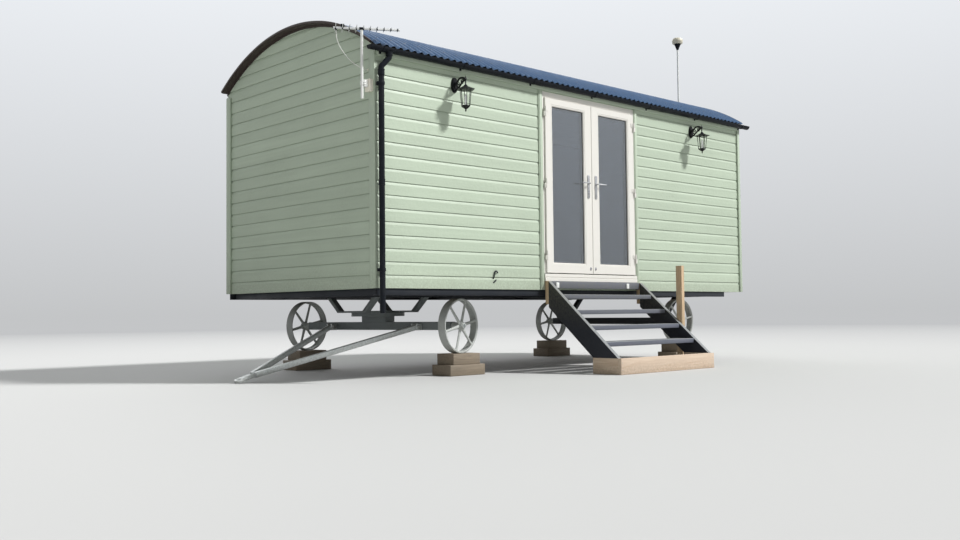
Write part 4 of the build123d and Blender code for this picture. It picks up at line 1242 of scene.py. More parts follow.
class HUT_OT_doors(bpy.types.Operator):
    """Makes the two glazed leaves with their glass, gaskets, hinges, handle plates and levers"""

    bl_idname = "hut.doors"
    bl_label = "Doors"

    def execute(self, context):
        for side, name in ((-1, "left"), (1, "right")):
            self.leaf(name)
            self.fittings(side, name)
            self.lever(side, name)
        return {"FINISHED"}

    def leaf(self, name):
        """Stiles and rails as one moulded ring, with the pane and its gaskets."""
        low, high = local_box("door_leaf_" + name)
        pane_low, pane_high = local_box("door_glass_" + name)
        body = "door_" + name
        section = [(low, high, 0.0, LEAF_EASE), (low, high, LEAF_EASE, 0.0)]
        section += [(pane_low, pane_high, inset, depth) for inset, depth in LEAF_MOULD]
        rings = [rectangle(*edges, low.y + depth) for *edges, depth in section]
        rings += [rectangle(*edges, high.y - depth) for *edges, depth in section[::-1]]
        bm = bmesh.new()
        add_rings(bm, rings, closed=True)
        new_piece(
            "leaf_frame_" + name, bm, body, "joinery", 20.0, ("door_leaf_" + name,)
        )
        bm = bmesh.new()
        for face, out in ((pane_low.y, -1), (pane_high.y, 1)):
            self.pane_ring(
                bm, pane_low, pane_high,
                [(0.0002, face), (0.0002, face + out * 0.004), (0.0025, face + out * 0.004),
                 (0.0055, face + out * 0.0015), (0.0055, face)],
            )
        new_piece("leaf_gasket_" + name, bm, body, "rubber")
        bm = bmesh.new()
        inner_front, inner_back = pane_low.y + PANE_THICKNESS, pane_high.y - PANE_THICKNESS
        for y0, y1 in ((pane_low.y, inner_front), (inner_back, pane_high.y)):
            add_block(
                bm, at(pane_low.x + PANE_GAP, y0, pane_low.z + PANE_GAP),
                at(pane_high.x - PANE_GAP, y1, pane_high.z - PANE_GAP),
            )
        new_piece(
            "pane_" + name, bm, body, "door glass", stands_for=("door_glass_" + name,)
        )
        bm = bmesh.new()
        self.pane_ring(
            bm, pane_low, pane_high,
            [(PANE_GAP, inner_front), (PANE_GAP, inner_back), (0.012, inner_back), (0.012, inner_front)],
        )
        new_piece("spacer_" + name, bm, body, "aluminium")

    def pane_ring(self, bm, low, high, section):
        """A closed ring round a pane, from the inset and depth of each of its edges."""
        add_rings(bm, [rectangle(low, high, inset, y) for inset, y in section], closed=True)

    def fittings(self, side, name):
        """The upper knuckles and flaps, the long handle plate and the low lock."""
        body = "door_" + name
        low, high = local_box("door_leaf_" + name)
        pivot, line = hinge_line(side)
        half = hinge_half()
        bm = bmesh.new()
        for z in [place[1] for place in hinge_places() if place[0] == side]:
            knuckle(bm, pivot, line, z + HINGE_GAP, z + half)
            foot, top = z + 0.001, z + half - 0.002
            add_block(bm, at(pivot, line - 0.003, foot), at(pivot - side * 0.012, low.y, top), 0.001)
            inner, outer = pivot - side * 0.004, pivot - side * 0.038
            add_block(bm, at(inner, low.y - 0.005, foot), at(outer, low.y, top), 0.0018)
            for rise in (0.25, 0.75):
                head = at(pivot - side * 0.028, low.y - 0.005, z + half * rise)
                add_stud(bm, head, (0, -1, 0), 0.0012, 0.004, 0.003)
        new_piece(
            "hinge_flaps_" + name, bm, body, "joinery",
            stands_for=("door_fittings_" + name,),
        )
        meeting = high.x if side < 0 else low.x
        plate_x = meeting + side * 0.0555
        bm = bmesh.new()
        add_prism(bm, stadium(plate_x, low.y, PLATE_FOOT, PLATE_TOP, 0.0155), Vector((0, -0.0075, 0)))
        soften_sharp(bm, 0.002)
        for z in (PLATE_FOOT + 0.022, PLATE_TOP - 0.022):
            add_stud(bm, at(plate_x, low.y - 0.0075, z), (0, -1, 0), 0.0015, 0.0045, 0.0032, 14)
        barrel = PLATE_FOOT + 0.058
        add_stud(bm, at(plate_x, low.y - 0.007, barrel), (0, -1, 0), 0.0035, 0.0085, 0.0085, 20)
        add_block(
            bm, at(plate_x - 0.005, low.y - 0.0105, barrel - 0.021),
            at(plate_x + 0.005, low.y - 0.007, barrel - 0.003), 0.001,
        )
        lock = at(meeting + side * 0.036, low.y, low.z + 0.052)
        add_oval(bm, lock, 0.013, 0.019, 0.005, (0.8, 1, 0.8), 24)
        new_piece("handle_plate_" + name, bm, body, "chrome")

    def lever(self, side, name):
        """A bent round lever on its rose."""
        low, high = local_box("door_lever_" + name)
        height = (low.z + high.z) / 2
        spindle = high.x - 0.008 if side < 0 else low.x + 0.008
        tip = low.x + LEVER_RADIUS if side < 0 else high.x - LEVER_RADIUS
        grip = low.y + LEVER_RADIUS
        bm = bmesh.new()
        route = [(spindle, high.y, height), (spindle, grip, height), (tip, grip, height)]
        add_wire(bm, rounded(route, 0.013, 8), LEVER_RADIUS)
        bmesh.ops.create_uvsphere(
            bm, u_segments=20, v_segments=12, radius=LEVER_RADIUS,
            matrix=Matrix.Translation(at(tip, grip, height)),
        )
        turn = Matrix.Translation(at(spindle, high.y, height)) @ Matrix.Rotation(pi / 2, 4, "X")
        rose = ((0.0, 0.0), (0.0125, 0.0), (0.0125, 0.003), (0.0105, 0.006), (0.0, 0.006))
        add_turned(bm, turn, rose, 24)
        new_piece(
            "lever_bar_" + name, bm, "lever_" + name, "chrome", 50.0,
            ("door_lever_" + name,),
        )


# Wall lanterns

HOOD_LIFT = 0.022
LANTERN_STAND = 0.085


class HUT_OT_lanterns(bpy.types.Operator):
    """Makes the two six-sided lanterns with their scrolled brackets"""

    bl_idname = "hut.lanterns"
    bl_label = "Lanterns"

    def execute(self, context):
        glass_low, glass_high = local_box("lantern_glass")
        foot, top = glass_low.z, glass_high.z + HOOD_LIFT
        panes = bmesh.new()
        for name in ("lantern_left", "lantern_right"):
            low, high = local_box(name)
            x, y = (low.x + high.x) / 2, low.y + LANTERN_STAND
            self.ironwork(name, x, y, foot, top, high.z)
            profile = ((0.0358, foot), (0.0498, top), (0.0478, top), (0.0338, foot))
            self.hexagon(panes, x, y, profile, closed=True)
        new_piece(
            "lantern_panes", panes, "hut", "lantern glass", 20.0, ("lantern_glass",)
        )
        return {"FINISHED"}

    def ironwork(self, name, x, y, foot, top, crown):
        """Plate, arm, scrolls, cap, cage and base, with the lamp in its holder."""
        bm = bmesh.new()
        plate_z = crown - 0.07
        for half_width, half_height, start, depth in (
            (0.042, 0.071, 0.0, 0.009), (0.035, 0.060, -0.008, 0.008), (0.020, 0.034, -0.015, 0.006),
        ):
            add_oval(bm, at(x, start, plate_z), half_width, half_height, depth, (0.94, 1, 0.97), 32)
        neck = top + 0.028
        arm = ((-0.010, 0.0), (-0.03, 0.012), (y * 0.45, 0.052), (y * 0.8, 0.05), (y, 0.03))
        brace = ((-0.010, -0.052), (-0.030, -0.050), (-0.060, -0.030), (y * 0.8, 0.020), (y, 0.028))
        for route, radius in ((arm, 0.0092), (brace, 0.0090)):
            add_wire(bm, [(x, out, plate_z + rise) for out, rise in route], radius, "NURBS", 10)
        for start, turns, radius, way, centre_y, centre_z in (
            (0.0, 1.6, 0.030, 1, -0.050, plate_z - 0.004),
            (pi, 1.5, 0.024, -1, y * 0.72, plate_z + 0.012),
        ):
            scroll = []
            for share in [index / 32 for index in range(33)]:
                turn = start + way * turns * 2 * pi * share
                reach = radius * (1 - 0.8 * share)
                scroll.append((x, centre_y + reach * cos(turn), centre_z + reach * sin(turn)))
            add_wire(bm, scroll, 0.0046)
        finial = (
            (0.0, neck - 0.004), (0.016, neck - 0.004), (0.017, neck + 0.004), (0.009, neck + 0.012),
            (0.0062, neck + 0.02), (0.0062, plate_z + 0.022), (0.011, plate_z + 0.028),
            (0.012, plate_z + 0.034), (0.009, plate_z + 0.041), (0.004, plate_z + 0.045), (0.0, crown),
        )
        drop = (
            (0.0, foot - 0.006), (0.026, foot - 0.014), (0.020, foot - 0.021), (0.009, foot - 0.026),
            (0.006, foot - 0.032), (0.0085, foot - 0.038), (0.005, foot - 0.044), (0.0, foot - 0.057),
        )
        for profile in (finial, drop):
            add_turned(bm, upright(x, y), profile, 20)
        for profile in (
            ((0.085, top - 0.006), (0.085, top), (0.050, top + 0.012), (0.018, neck)),
            ((0.055, top - 0.008), (0.057, top - 0.001), (0.057, top)),
            ((0.030, foot - 0.014), (0.0425, foot - 0.004), (0.0425, foot + 0.004)),
        ):
            self.hexagon(bm, x, y, profile)
        for turn in full_turn(6):
            way = Vector((cos(turn), sin(turn), 0))
            add_rod(bm, at(x, y, foot) + way * 0.0393, at(x, y, top) + way * 0.0533, 0.0031, segments=10)
        new_piece(name + "_iron", bm, "hut", "lantern", stands_for=(name,))
        bm = bmesh.new()
        lamp = (
            (0.0, 0.0), (0.016, 0.0), (0.016, 0.006), (0.0115, 0.008), (0.0115, 0.060), (0.0075, 0.062),
            (0.0115, 0.076), (0.009, 0.090), (0.0, 0.110),
        )
        add_turned(bm, Matrix.Translation(at(x, y, foot)), lamp, 20)
        new_piece(name + "_lamp", bm, "hut", "white tube", 50.0)

    def hexagon(self, bm, x, y, profile, closed=False):
        """A six-sided shape of stacked (radius, height) rings with its corners at the bars."""
        rings = [
            [at(x, y, height) + Vector((cos(turn), sin(turn), 0)) * radius for turn in full_turn(6)]
            for radius, height in profile
        ]
        add_rings(bm, rings, closed)


# Steps

STEP_RISE = 0.15
STEP_GOING = 0.175
STRINGER_DEPTH = 0.194
STRINGER_THICKNESS = 0.045
FIRST_TREAD_DROP = 0.132
TREADS = 4
TREAD_DEPTH = 0.215
TREAD_THICKNESS = 0.044
POST_FACE = -0.058
BASE_THICKNESS = 0.045


class HUT_OT_steps(bpy.types.Operator):
    """Builds the steps: stringers, posts, treads, top board, timber base and newel"""

    bl_idname = "hut.steps"
    bl_label = "Steps"

    def execute(self, context):
        base_low, base_high = local_box("step_base")
        tread_low, tread_high = local_box("step_treads")
        top, foot = tread_high.z, base_high.z
        slope = STEP_RISE / STEP_GOING
        plumb = STRINGER_DEPTH * sqrt(1 + slope**2)
        front, rear = (top - foot) / slope, (top - plumb - foot) / slope
        for name, x in (("left", base_low.x), ("right", base_high.x - STRINGER_THICKNESS)):
            bm = bmesh.new()
            outline = (
                (POST_FACE, top), (POST_FACE - front, foot), (POST_FACE - rear, foot),
                (POST_FACE, top - plumb),
            )
            add_prism(bm, [at(x, y, z) for y, z in outline], Vector((STRINGER_THICKNESS, 0, 0)))
            soften_sharp(bm, 0.004, 3)
            # The stringers' darker paint is painted shade.
            stringer = new_piece(
                "stringer_" + name, bm, "hut", "stringer paint",
                stands_for=("step_stringer_" + name,),
            )
            self.wear_and_light_tops(stringer)
        bm = bmesh.new()
        for x in (base_low.x, base_high.x - STRINGER_THICKNESS):
            add_block(bm, at(x + 0.0005, POST_FACE + 0.0003, -0.14), at(x + 0.0445, -0.016, top), 0.003)
        new_piece("step_posts", bm, "hut", "post timber")
        bm = bmesh.new()
        x0, x1 = tread_low.x, tread_high.x
        for height, nose in self.tread_places(top):
            foot, back = height - TREAD_THICKNESS, nose + TREAD_DEPTH
            add_block(bm, at(x0, nose, foot), at(x1, back, height), 0.005, 3)
        add_block(bm, at(x0, POST_FACE, top - 0.07), at(x1, POST_FACE + 0.028, top), 0.003)
        treads = new_piece("treads", bm, "hut", "steps", stands_for=("step_treads",))
        self.wear_and_light_tops(treads)
        self.base(base_low, base_high)
        self.small_parts(x0, x1, top)
        softened("newel", "newel_post", "hut", "post timber", 0.003)
        return {"FINISHED"}

    def tread_places(self, top):
        """Height of the top of each tread, and depth of its nose."""
        heights = [top - FIRST_TREAD_DROP - count * STEP_RISE for count in range(TREADS)]
        return [(height, POST_FACE - (top - height) * STEP_GOING / STEP_RISE) for height in heights]

    def wear_and_light_tops(self, piece):
        """Gives the faces that look upwards a paler paint: scuffed wear, and a painted highlight where
        light falls on them from above.
        """
        piece.data.materials.append(finish("worn and lit steps"))
        for face in piece.data.polygons:
            face.material_index = int(face.normal.z > 0.5)

    def base(self, low, high):
        """The new timber base: a front board and two side boards, with four screws."""
        bm = bmesh.new()
        back = low.y + BASE_THICKNESS
        add_block(bm, at(low.x, low.y + 0.0008, low.z), at(high.x, back, high.z), 0.003, 3)
        new_piece("base_front", bm, "hut", "pine", stands_for=("step_base",))
        bm = bmesh.new()
        for x in (low.x, high.x - BASE_THICKNESS):
            add_block(bm, at(x, back, low.z), at(x + BASE_THICKNESS, high.y, high.z), 0.003, 3)
        new_piece("base_sides", bm, "hut", "cross pine")
        bm = bmesh.new()
        for x in (low.x + 0.022, high.x - 0.022):
            for z in (low.z + 0.04, high.z - 0.04):
                add_stud(bm, at(x, low.y + 0.0013, z), (0, -1, 0), 0.0013, 0.005, 0.004, 14)
        new_piece("base_screws", bm, "hut", "bolt")

    def small_parts(self, x0, x1, top):
        """Corner blocks under the sill with their screws, and the tread screws."""
        bm = bmesh.new()
        for x in (x0 + 0.083, x1 - 0.205):
            add_block(
                bm, at(x - 0.021, POST_FACE - 0.010, top - 0.066), at(x + 0.021, POST_FACE, top - 0.012),
                0.004, 3,
            )
            add_stud(bm, at(x, POST_FACE - 0.0095, top - 0.038), (0, -1, 0), 0.002, 0.006, 0.005, 14)
        new_piece("corner_blocks", bm, "hut", "white tube")
        bm = bmesh.new()
        for height, nose in self.tread_places(top):
            for share in (0.25, 0.62):
                for x, way in ((x0 - STRINGER_THICKNESS, -1), (x1 + STRINGER_THICKNESS, 1)):
                    foot = at(x - way * 0.0005, nose + TREAD_DEPTH * share, height - TREAD_THICKNESS / 2)
                    add_stud(bm, foot, (way, 0, 0), 0.0027, 0.0055, 0.0035)
        new_piece("tread_screws", bm, "hut", "chassis")


# Wheels and running gear

WHEEL_RADIUS = 0.254
WHEEL_WIDTH = 0.085
RIM = 0.012
HUB_RADIUS = 0.038
HUB_LENGTH = 0.116
STUB_RADIUS = 0.02
SPOKE_TURN = 12.0
SPOKE_DEPTH = 0.02
SPOKE_INSET = 0.003


def wheel_centre(name):
    """Middle of a wheel in the frame."""
    low, high = node_box(name)
    return (low + high) / 2


def axle_frame(end):
    """The front or rear axle's place: middle, direction along the hut and direction across it."""
    left, right = wheel_centre(f"wheel_{end}_left"), wheel_centre(f"wheel_{end}_right")
    across = (right - left).normalized()
    along = across.cross(Vector((0, 0, 1)))
    return (left + right) / 2, along, across


def facing(place, along, outward):
    """A frame at a place, with its X axis along the hut and its Z axis outwards."""
    base = Matrix((along, outward.cross(along), outward)).transposed().to_4x4()
    base.translation = place
    return base


class HUT_OT_wheels(bpy.types.Operator):
    """Casts the four spoked wheels"""

    bl_idname = "hut.wheels"
    bl_label = "Wheels"

    def execute(self, context):
        for end in ("front", "rear"):
            _, along, across = axle_frame(end)
            for side, name in ((-1, f"wheel_{end}_left"), (1, f"wheel_{end}_right")):
                self.wheel(name, wheel_centre(name), along, across * side)
        return {"FINISHED"}

    def wheel(self, name, centre, along, outward):
        """One casting: a ribbed rim, tapering spokes and a stepped hub."""
        up = Vector((0, 0, 1))
        base = facing(centre, along, outward)
        half = WHEEL_WIDTH / 2
        inner = WHEEL_RADIUS - RIM
        spoke_z = half - SPOKE_INSET - SPOKE_DEPTH / 2
        bm = bmesh.new()
        rim = (
            (WHEEL_RADIUS, -half + 0.003), (WHEEL_RADIUS, half - 0.003), (WHEEL_RADIUS - 0.003, half),
            (inner + 0.002, half), (inner, half - 0.003), (inner, spoke_z + 0.012),
            (inner - 0.007, spoke_z + 0.007), (inner - 0.007, spoke_z - 0.007), (inner, spoke_z - 0.013),
            (inner, -half + 0.003), (inner + 0.002, -half), (WHEEL_RADIUS - 0.003, -half),
        )
        add_turned(bm, base, rim, 72, closed=True)
        bore, hub, reach = STUB_RADIUS + 0.0006, HUB_RADIUS, HUB_LENGTH / 2
        profile = (
            (bore, -reach), (hub - 0.002, -reach), (hub, -reach + 0.002), (hub, -reach + 0.014),
            (hub - 0.005, -reach + 0.020), (hub - 0.005, spoke_z - 0.018), (hub, spoke_z - 0.010),
            (hub, reach - 0.014), (hub - 0.003, reach - 0.010), (hub - 0.003, reach - 0.002),
            (hub - 0.005, reach), (bore, reach),
        )
        add_turned(bm, base, profile, 40, closed=True)
        spokes = sizes().spokes
        for turn in full_turn(spokes):
            turn += radians(SPOKE_TURN)
            way = along * cos(turn) + up * sin(turn)
            flat = outward.cross(way)
            rings = []
            for radius, wide, deep in (
                (HUB_RADIUS - 0.010, 0.022, 0.014), (HUB_RADIUS + 0.006, 0.0175, 0.0115),
                (HUB_RADIUS + 0.03, 0.0155, 0.0100), (inner - 0.04, 0.0125, 0.0090),
                (inner - 0.012, 0.0140, 0.0095), (inner + 0.004, 0.019, 0.0115),
            ):
                point = centre + outward * spoke_z + way * radius
                rings.append(
                    [point + flat * wide * cos(t) + outward * deep * sin(t) for t in full_turn(14)]
                )
            add_rings(bm, rings)
        new_piece(name + "_cast", bm, name, "iron", 32.0, (name,))


class HUT_OT_running_gear(bpy.types.Operator):
    """Makes the chassis, axles, turntable, drawbar and packers with their bolts"""

    bl_idname = "hut.running_gear"
    bl_label = "Running gear"

    def execute(self, context):
        self.rails()
        softened("cross_members", "chassis_members", "hut", "chassis", 0.004)
        softened("turntable_top", "turntable_upper", "hut", "gear", 0.003)
        softened("axle_front", "front_axle_beam", "front_axle", "gear", 0.004)
        softened("axle_rear", "rear_axle", "hut", "chassis", 0.004)
        softened("drawbar_cheeks", "drawbar_brackets", "front_axle", "zinc", 0.002)
        for side in ("left", "right"):
            bar, rail = "drawbar_bar_" + side, "drawbar_rail_" + side
            softened(bar, rail, "drawbar", "zinc", 0.004)
        softened("tow_eye", "towing_eye", "drawbar", "zinc", 0.003)
        softened("packers_low", "wheel_packers_lower", "hut", "packer timber", 0.005)
        softened("packers_high", "wheel_packers_upper", "hut", "packer timber", 0.004)
        self.axle_ends()
        self.bolts()
        return {"FINISHED"}

    def rails(self):
        """The two long channels, open towards each other."""
        low, high = local_box("chassis_rails")
        web, flange, depth = 0.006, 0.008, 0.06
        bm = bmesh.new()
        for y, way in ((low.y, 1), (high.y, -1)):
            section = (
                (0, high.z), (depth, high.z), (depth, high.z - flange), (web, high.z - flange),
                (web, low.z + flange), (depth, low.z + flange), (depth, low.z), (0, low.z),
            )
            outline = [at(low.x, y + way * reach, z) for reach, z in section]
            add_prism(bm, outline, Vector((high.x - low.x, 0, 0)))
        soften_sharp(bm, 0.0015)
        new_piece("rails", bm, "hut", "chassis", stands_for=("chassis_rails",))

    def axle_ends(self):
        """Washer, collar and split pin on the end of each stub."""
        washer = (
            (0.0, 0.0012), (0.0315, 0.0012), (0.0315, 0.0052), (0.0265, 0.0056), (0.0265, 0.0115),
            (0.0245, 0.0128), (0.0, 0.0128),
        )
        pin = Vector((0, 0, 0.034))
        for end, body in (("front", "front_axle"), ("rear", "hut")):
            _, along, across = axle_frame(end)
            bm = bmesh.new()
            for side, name in ((-1, "left"), (1, "right")):
                outward = across * side
                face = wheel_centre(f"wheel_{end}_{name}") + outward * HUB_LENGTH / 2
                add_turned(bm, facing(face, along, outward), washer, 32)
                place = face + outward * 0.0088
                add_rod(bm, place + pin, place - pin, 0.0024, segments=10)
            new_piece(f"axle_ends_{end}", bm, body, "iron")

    def bolts(self):
        """Bolts of the turntable and the drawbar."""
        middle, along, across = axle_frame("front")
        centre = Vector((middle.x, middle.y, node_box("turntable_upper")[0].z + 0.018))
        bm = bmesh.new()
        for turn in full_turn(8):
            turn += pi / 8
            place = centre + Vector((cos(turn), sin(turn), 0)) * 0.235
            add_hexagon(bm, place + Vector((0, 0, 0.005)), 0.022, 0.010)
        new_piece("turntable_bolts", bm, "hut", "bolt")
        bm = bmesh.new()
        cheeks_low, cheeks_high = node_box("drawbar_brackets")
        hinge_z = (cheeks_low.z + cheeks_high.z) / 2
        turned = across.to_track_quat("Z", "Y").to_matrix().to_4x4()
        for side in (-1, 1):
            pin = middle - along * 0.085 + across * side * 0.56
            pin.z = hinge_z
            for way in (-1, 1):
                face = pin + across * way * 0.0335
                add_rod(bm, face, face + across * way * 0.003, 0.0175, segments=20)
                bmesh.ops.create_cone(
                    bm, cap_ends=True, segments=6, radius1=0.0155, radius2=0.0155, depth=0.010,
                    matrix=Matrix.Translation(face + across * way * 0.008) @ turned,
                )
        new_piece("drawbar_pins", bm, "front_axle", "bolt")


# Aerials

BOOM_TURN = -33
BOOM_REAR = 0.236
BOOM_FRONT = 0.32
BOOM_HALF = 0.009
BOOM_INSET = 0.018
ELEMENTS = 10
LONG_ELEMENT = 0.130
SHORT_ELEMENT = 0.050


class HUT_OT_aerials(bpy.types.Operator):
    """Makes the television aerial with its bracket, and the dome aerial"""

    bl_idname = "hut.aerials"
    bl_label = "Aerials"

    def execute(self, context):
        low, high = local_box("aerial_mast")
        x, y = (low.x + high.x) / 2, (low.y + high.y) / 2
        radius = (high.x - low.x) / 2
        bm = bmesh.new()
        profile = (
            (radius - 0.002, low.z + 0.004), (radius - 0.002, low.z), (radius, low.z),
            (radius, high.z - 0.002), (radius - 0.002, high.z), (0.0, high.z), (0.0, low.z + 0.004),
        )
        add_turned(bm, upright(x, y), profile, 28, closed=True)
        new_piece("mast_tube", bm, "hut", "white tube", stands_for=("aerial_mast",))
        self.fixings(x, y, radius)
        self.boom(at(x, y, high.z + BOOM_HALF))
        self.dome()
        return {"FINISHED"}

    def fixings(self, x, y, radius):
        """The box on the corner board, the clamp round the mast and the cable gland."""
        low, high = local_box("aerial_fixings")
        bm = bmesh.new()
        box_low, box_high = at(high.x - 0.058, low.y, low.z), at(-0.018, low.y + 0.070, low.z + 0.104)
        add_block(bm, box_low, box_high, 0.004, 3)
        gland = at(high.x, *CABLE_ROUTE[-1][1:])
        add_stud(bm, gland, (-1, 0, 0), 0.006, 0.0125, 0.0115, 6)
        add_stud(bm, gland - Vector((0.006, 0, 0)), (-1, 0, 0), 0.010, 0.009, 0.006, 20)
        new_piece("junction_box", bm, "hut", "junction", stands_for=("aerial_fixings",))
        bm = bmesh.new()
        middle = low.z + 0.062
        add_block(
            bm, at(x + radius, y - 0.017, middle - 0.030), at(high.x - 0.055, y + 0.017, middle + 0.030),
            0.003,
        )
        self.collar(bm, x, y, radius, radius + 0.004, middle - 0.016, middle + 0.016)
        for rise in (-0.008, 0.008):
            for side in (-1, 1):
                start = at(x + radius * 0.2, y + side * (radius + 0.006), middle + rise)
                add_rod(bm, start, start + Vector((radius + 0.012, 0, 0)), 0.003, segments=10)
        new_piece("mast_clamp", bm, "hut", "white tube")

    def collar(self, bm, x, y, radius, outer, z0, z1):
        """A plain ring that clears a mast by a hair."""
        inner = radius + 0.0002
        profile = ((inner, z0), (outer, z0), (outer, z1), (inner, z1))
        add_turned(bm, upright(x, y), profile, 24, closed=True)

    def boom(self, middle):
        """The boom with its elements, their holders, the clamp, the feed box and the socket."""
        turn = radians(BOOM_TURN)
        along, across = Vector((cos(turn), sin(turn), 0)), Vector((-sin(turn), cos(turn), 0))
        start, end = middle - along * BOOM_REAR, middle + along * BOOM_FRONT
        step = (BOOM_REAR + BOOM_FRONT - 2 * BOOM_INSET) / (ELEMENTS - 1)
        places = [start + along * (BOOM_INSET + count * step) for count in range(ELEMENTS)]
        bm = bmesh.new()
        corners = [
            start + across * side * BOOM_HALF + Vector((0, 0, rise * BOOM_HALF))
            for side, rise in ((1, 1), (-1, 1), (-1, -1), (1, -1))
        ]
        add_prism(bm, corners, end - start)
        soften_sharp(bm, 0.0015)
        for count, place in enumerate(places):
            reach = LONG_ELEMENT + (SHORT_ELEMENT - LONG_ELEMENT) * count / (ELEMENTS - 1)
            add_rod(bm, place - across * reach, place + across * reach, 0.0038, segments=10)
        new_piece("boom_bar", bm, "hut", "aluminium", stands_for=("aerial_boom",))
        bm = bmesh.new()
        socket = at(*CABLE_ROUTE[0])
        add_rod(bm, socket, Vector((socket.x, socket.y, middle.z - BOOM_HALF)), 0.009, segments=20)
        boxes = [(place, (0.011, 0.0195, 0.0184)) for place in places]
        boxes += [
            (middle, (0.040, 0.026, 0.0195)), (places[1] + Vector((0, 0, 0.018)), (0.030, 0.032, 0.026)),
        ]
        for place, size in boxes:
            turned = Matrix.Translation(place) @ Matrix.Rotation(turn, 4, "Z")
            bmesh.ops.create_cube(bm, size=1.0, matrix=turned @ Matrix.Diagonal((*size, 1)))
        new_piece("boom_holders", bm, "hut", "black plastic")

    def dome(self):
        """The thin mast with its two brackets, the dark cone and the pale bowl."""
        low, high = local_box("dome_mast")
        radius = 0.011
        x, y = high.x - radius, (low.y + high.y) / 2
        bm = bmesh.new()
        profile = ((0.0, low.z), (radius, low.z), (radius, high.z), (0.0, high.z))
        add_turned(bm, upright(x, y), profile, 24)
        new_piece("dome_tube", bm, "hut", "white tube", stands_for=("dome_mast",))
        bm = bmesh.new()
        wall = BODY_LENGTH + 0.005
        for z in (low.z + 0.05, low.z + 0.4):
            add_block(bm, at(BODY_LENGTH, y - 0.02, z), at(wall, y + 0.02, z + 0.04), 0.001)
            add_block(bm, at(wall, y - 0.004, z + 0.004), at(x - radius, y + 0.004, z + 0.036), 0.001)
            self.collar(bm, x, y, radius, radius + 0.0035, z + 0.006, z + 0.034)
        new_piece("dome_brackets", bm, "hut", "bolt")
        foot = Matrix.Translation(at(x, y, local_box("dome_head")[0].z))
        bm = bmesh.new()
        cone = (
            (0.0, 0.0), (0.015, 0.0), (0.0165, 0.012), (0.036, 0.060), (0.045, 0.0775), (0.045, 0.079),
            (0.0, 0.079),
        )
        add_turned(bm, foot, cone, 36)
        new_piece("dome_cone", bm, "hut", "black plastic", stands_for=("dome_head",))
        bm = bmesh.new()
        bowl = (
            (0.0, 0.078), (0.058, 0.078), (0.0635, 0.082), (0.0695, 0.108), (0.0700, 0.116),
            (0.0690, 0.124), (0.0640, 0.140), (0.0520, 0.1515), (0.0300, 0.1565), (0.0, 0.158),
        )
        add_turned(bm, foot, bowl, 48)
        new_piece("dome_bowl", bm, "hut", "dome", 50.0)


# Inside

FLOOR_BOARDS = 18
BOARD_DEPTH = 0.021
JOINT = 0.0004


class HUT_OT_inside(bpy.types.Operator):
    """Lays the floor boards and the panel under them"""

    bl_idname = "hut.inside"
    bl_label = "Inside"

    def execute(self, context):
        low, high = local_box("floor")
        top = high.z
        bm = bmesh.new()
        width = (high.y - low.y) / FLOOR_BOARDS
        for index in range(FLOOR_BOARDS):
            y0 = low.y + index * width
            first, last = at(low.x, y0 + JOINT, top - BOARD_DEPTH), at(high.x, y0 + width - JOINT, top)
            add_block(bm, first, last, 0.0012, 1)
        new_piece("floor_boards", bm, "hut", "floor boards", stands_for=("floor",))
        bm = bmesh.new()
        add_block(bm, at(*low), at(high.x, high.y, top - BOARD_DEPTH - 0.0005), 0.002)
        new_piece("floor_panel", bm, "hut", "underside")
        return {"FINISHED"}


# The rest of the making

OPERATORS = (
    "camera", "cable", "walls", "trims", "roof", "rainwater", "doorway", "doors", "lanterns", "steps",
    "wheels", "running_gear", "aerials", "inside",
)


HORIZON = (0.55, 0.56, 0.57, 1)
ZENITH = (0.88, 0.91, 0.95, 1)
SKYLIGHT = (0.95, 0.98, 1.0, 1)
WORLD_LEVEL = 0.27
FADE_START = 7.0
FADE_END = 28.0


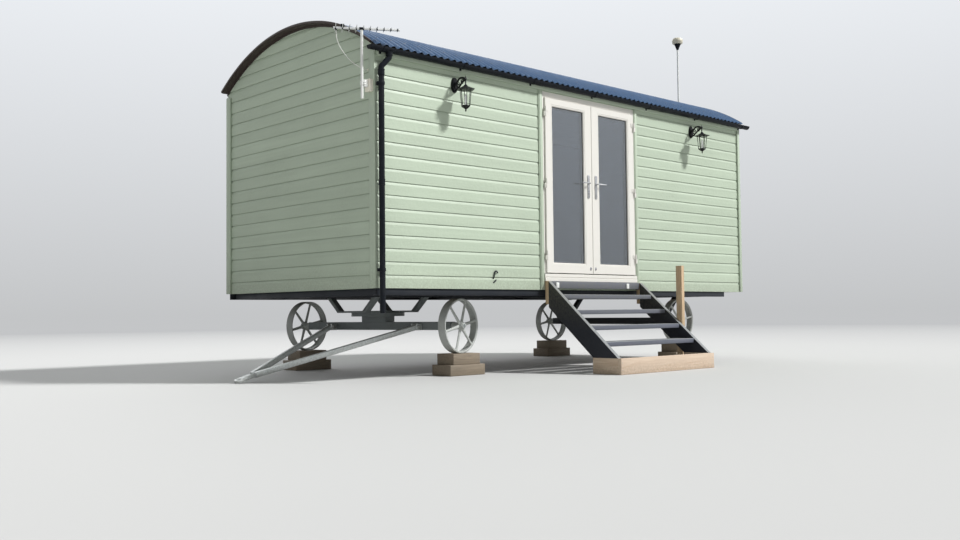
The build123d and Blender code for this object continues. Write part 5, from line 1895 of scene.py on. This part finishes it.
class HUT_OT_stage(bpy.types.Operator):
    """Sets the pale floor, the backdrop and the soft lights"""

    bl_idname = "hut.stage"
    bl_label = "Stage"

    def execute(self, context):
        bm = bmesh.new()
        bmesh.ops.create_grid(
            bm, x_segments=1, y_segments=1, size=90.0, matrix=Matrix.Translation((0, 0, -0.001)),
        )
        mesh = bpy.data.meshes.new("studio_floor")
        bm.to_mesh(mesh)
        bm.free()
        floor_object = bpy.data.objects.new("studio_floor", mesh)
        context.scene.collection.objects.link(floor_object)
        material, tree, surface, where = shader("Studio floor", (0.56, 0.56, 0.55, 1), 0.8)
        mesh.materials.append(material)
        away = put(tree, "ShaderNodeVectorMath", {0: where}, operation="LENGTH").outputs["Value"]
        distance = spread(tree, away, FADE_START, FADE_END)
        fade = maths(tree, "MULTIPLY", distance, self.background_rays(tree))
        far = put(tree, "ShaderNodeEmission", {"Color": HORIZON})
        mixed = put(tree, "ShaderNodeMixShader", {0: fade, 1: surface.outputs[0], 2: far.outputs[0]})
        output = next(node for node in tree.nodes if node.type == "OUTPUT_MATERIAL")
        tree.links.new(mixed.outputs[0], output.inputs[0])
        world = bpy.data.worlds.new("Studio")
        context.scene.world = world
        world.use_nodes = True
        tree = world.node_tree
        tree.nodes.clear()
        height = height_of(tree, put(tree, "ShaderNodeTexCoord").outputs["Generated"])
        sky = blend_colours(tree, spread(tree, height, 0.0, 0.35), HORIZON, ZENITH)
        seen = put(tree, "ShaderNodeBackground", {"Color": sky})
        light = put(tree, "ShaderNodeBackground", {"Color": SKYLIGHT, "Strength": WORLD_LEVEL})
        mixed = put(
            tree, "ShaderNodeMixShader",
            {0: self.background_rays(tree), 1: light.outputs[0], 2: seen.outputs[0]},
        )
        tree.links.new(mixed.outputs[0], put(tree, "ShaderNodeOutputWorld").inputs[0])
        for name, way, angle, power in (
            ("Key", (0.5, -0.62, 0.74), 7.0, 3.95), ("Fill", (-0.8, -0.5, 0.35), 60.0, 0.18),
            ("Rear", (0.3, 0.8, 0.5), 60.0, 0.9),
        ):
            data = bpy.data.lights.new(name, "SUN")
            data.angle = radians(angle)
            data.energy = power
            lamp = bpy.data.objects.new(name, data)
            lamp.rotation_euler = Vector(way).to_track_quat("Z", "Y").to_euler()
            context.scene.collection.objects.link(lamp)
        context.scene.view_settings.view_transform = "Standard"
        return {"FINISHED"}

    def background_rays(self, tree):
        """One for the rays that look straight, by a reflection or through glass at the background."""
        path = put(tree, "ShaderNodeLightPath").outputs
        seen = maths(tree, "MAXIMUM", path["Is Camera Ray"], path["Is Glossy Ray"])
        return maths(tree, "MAXIMUM", seen, path["Is Transmission Ray"])


class HUT_PT_panel(bpy.types.Panel):
    """Lists the steps that dress the hut"""

    bl_label = "Shepherds hut"
    bl_idname = "HUT_PT_panel"
    bl_space_type = "VIEW_3D"
    bl_region_type = "UI"
    bl_category = "Hut"

    def draw(self, context):
        for name in OPERATORS + ("stage",):
            self.layout.operator("hut." + name)
        for group in (context.scene.hut_sizes, context.scene.hut_colours):
            for key in group.bl_rna.properties.keys():
                if key not in ("rna_type", "name"):
                    self.layout.prop(group, key)


CLASSES = (
    HutSizes, HutColours, HUT_OT_camera, HUT_OT_cable, HUT_OT_walls, HUT_OT_trims, HUT_OT_roof,
    HUT_OT_rainwater, HUT_OT_doorway, HUT_OT_doors, HUT_OT_lanterns, HUT_OT_steps, HUT_OT_wheels,
    HUT_OT_running_gear, HUT_OT_aerials, HUT_OT_inside, HUT_OT_stage, HUT_PT_panel,
)


def register():
    """Registers the classes and puts the two groups of settings on the scene."""
    for item in CLASSES:
        bpy.utils.register_class(item)
    bpy.types.Scene.hut_sizes = PointerProperty(type=HutSizes)
    bpy.types.Scene.hut_colours = PointerProperty(type=HutColours)


def unregister():
    """Takes the settings and the classes away again."""
    del bpy.types.Scene.hut_colours
    del bpy.types.Scene.hut_sizes
    for item in reversed(CLASSES):
        bpy.utils.unregister_class(item)


def main():
    """Runs every operator in order."""
    register()
    for name in OPERATORS + ("stage",):
        getattr(bpy.ops.hut, name)()


if __name__ == "__main__":
    main()
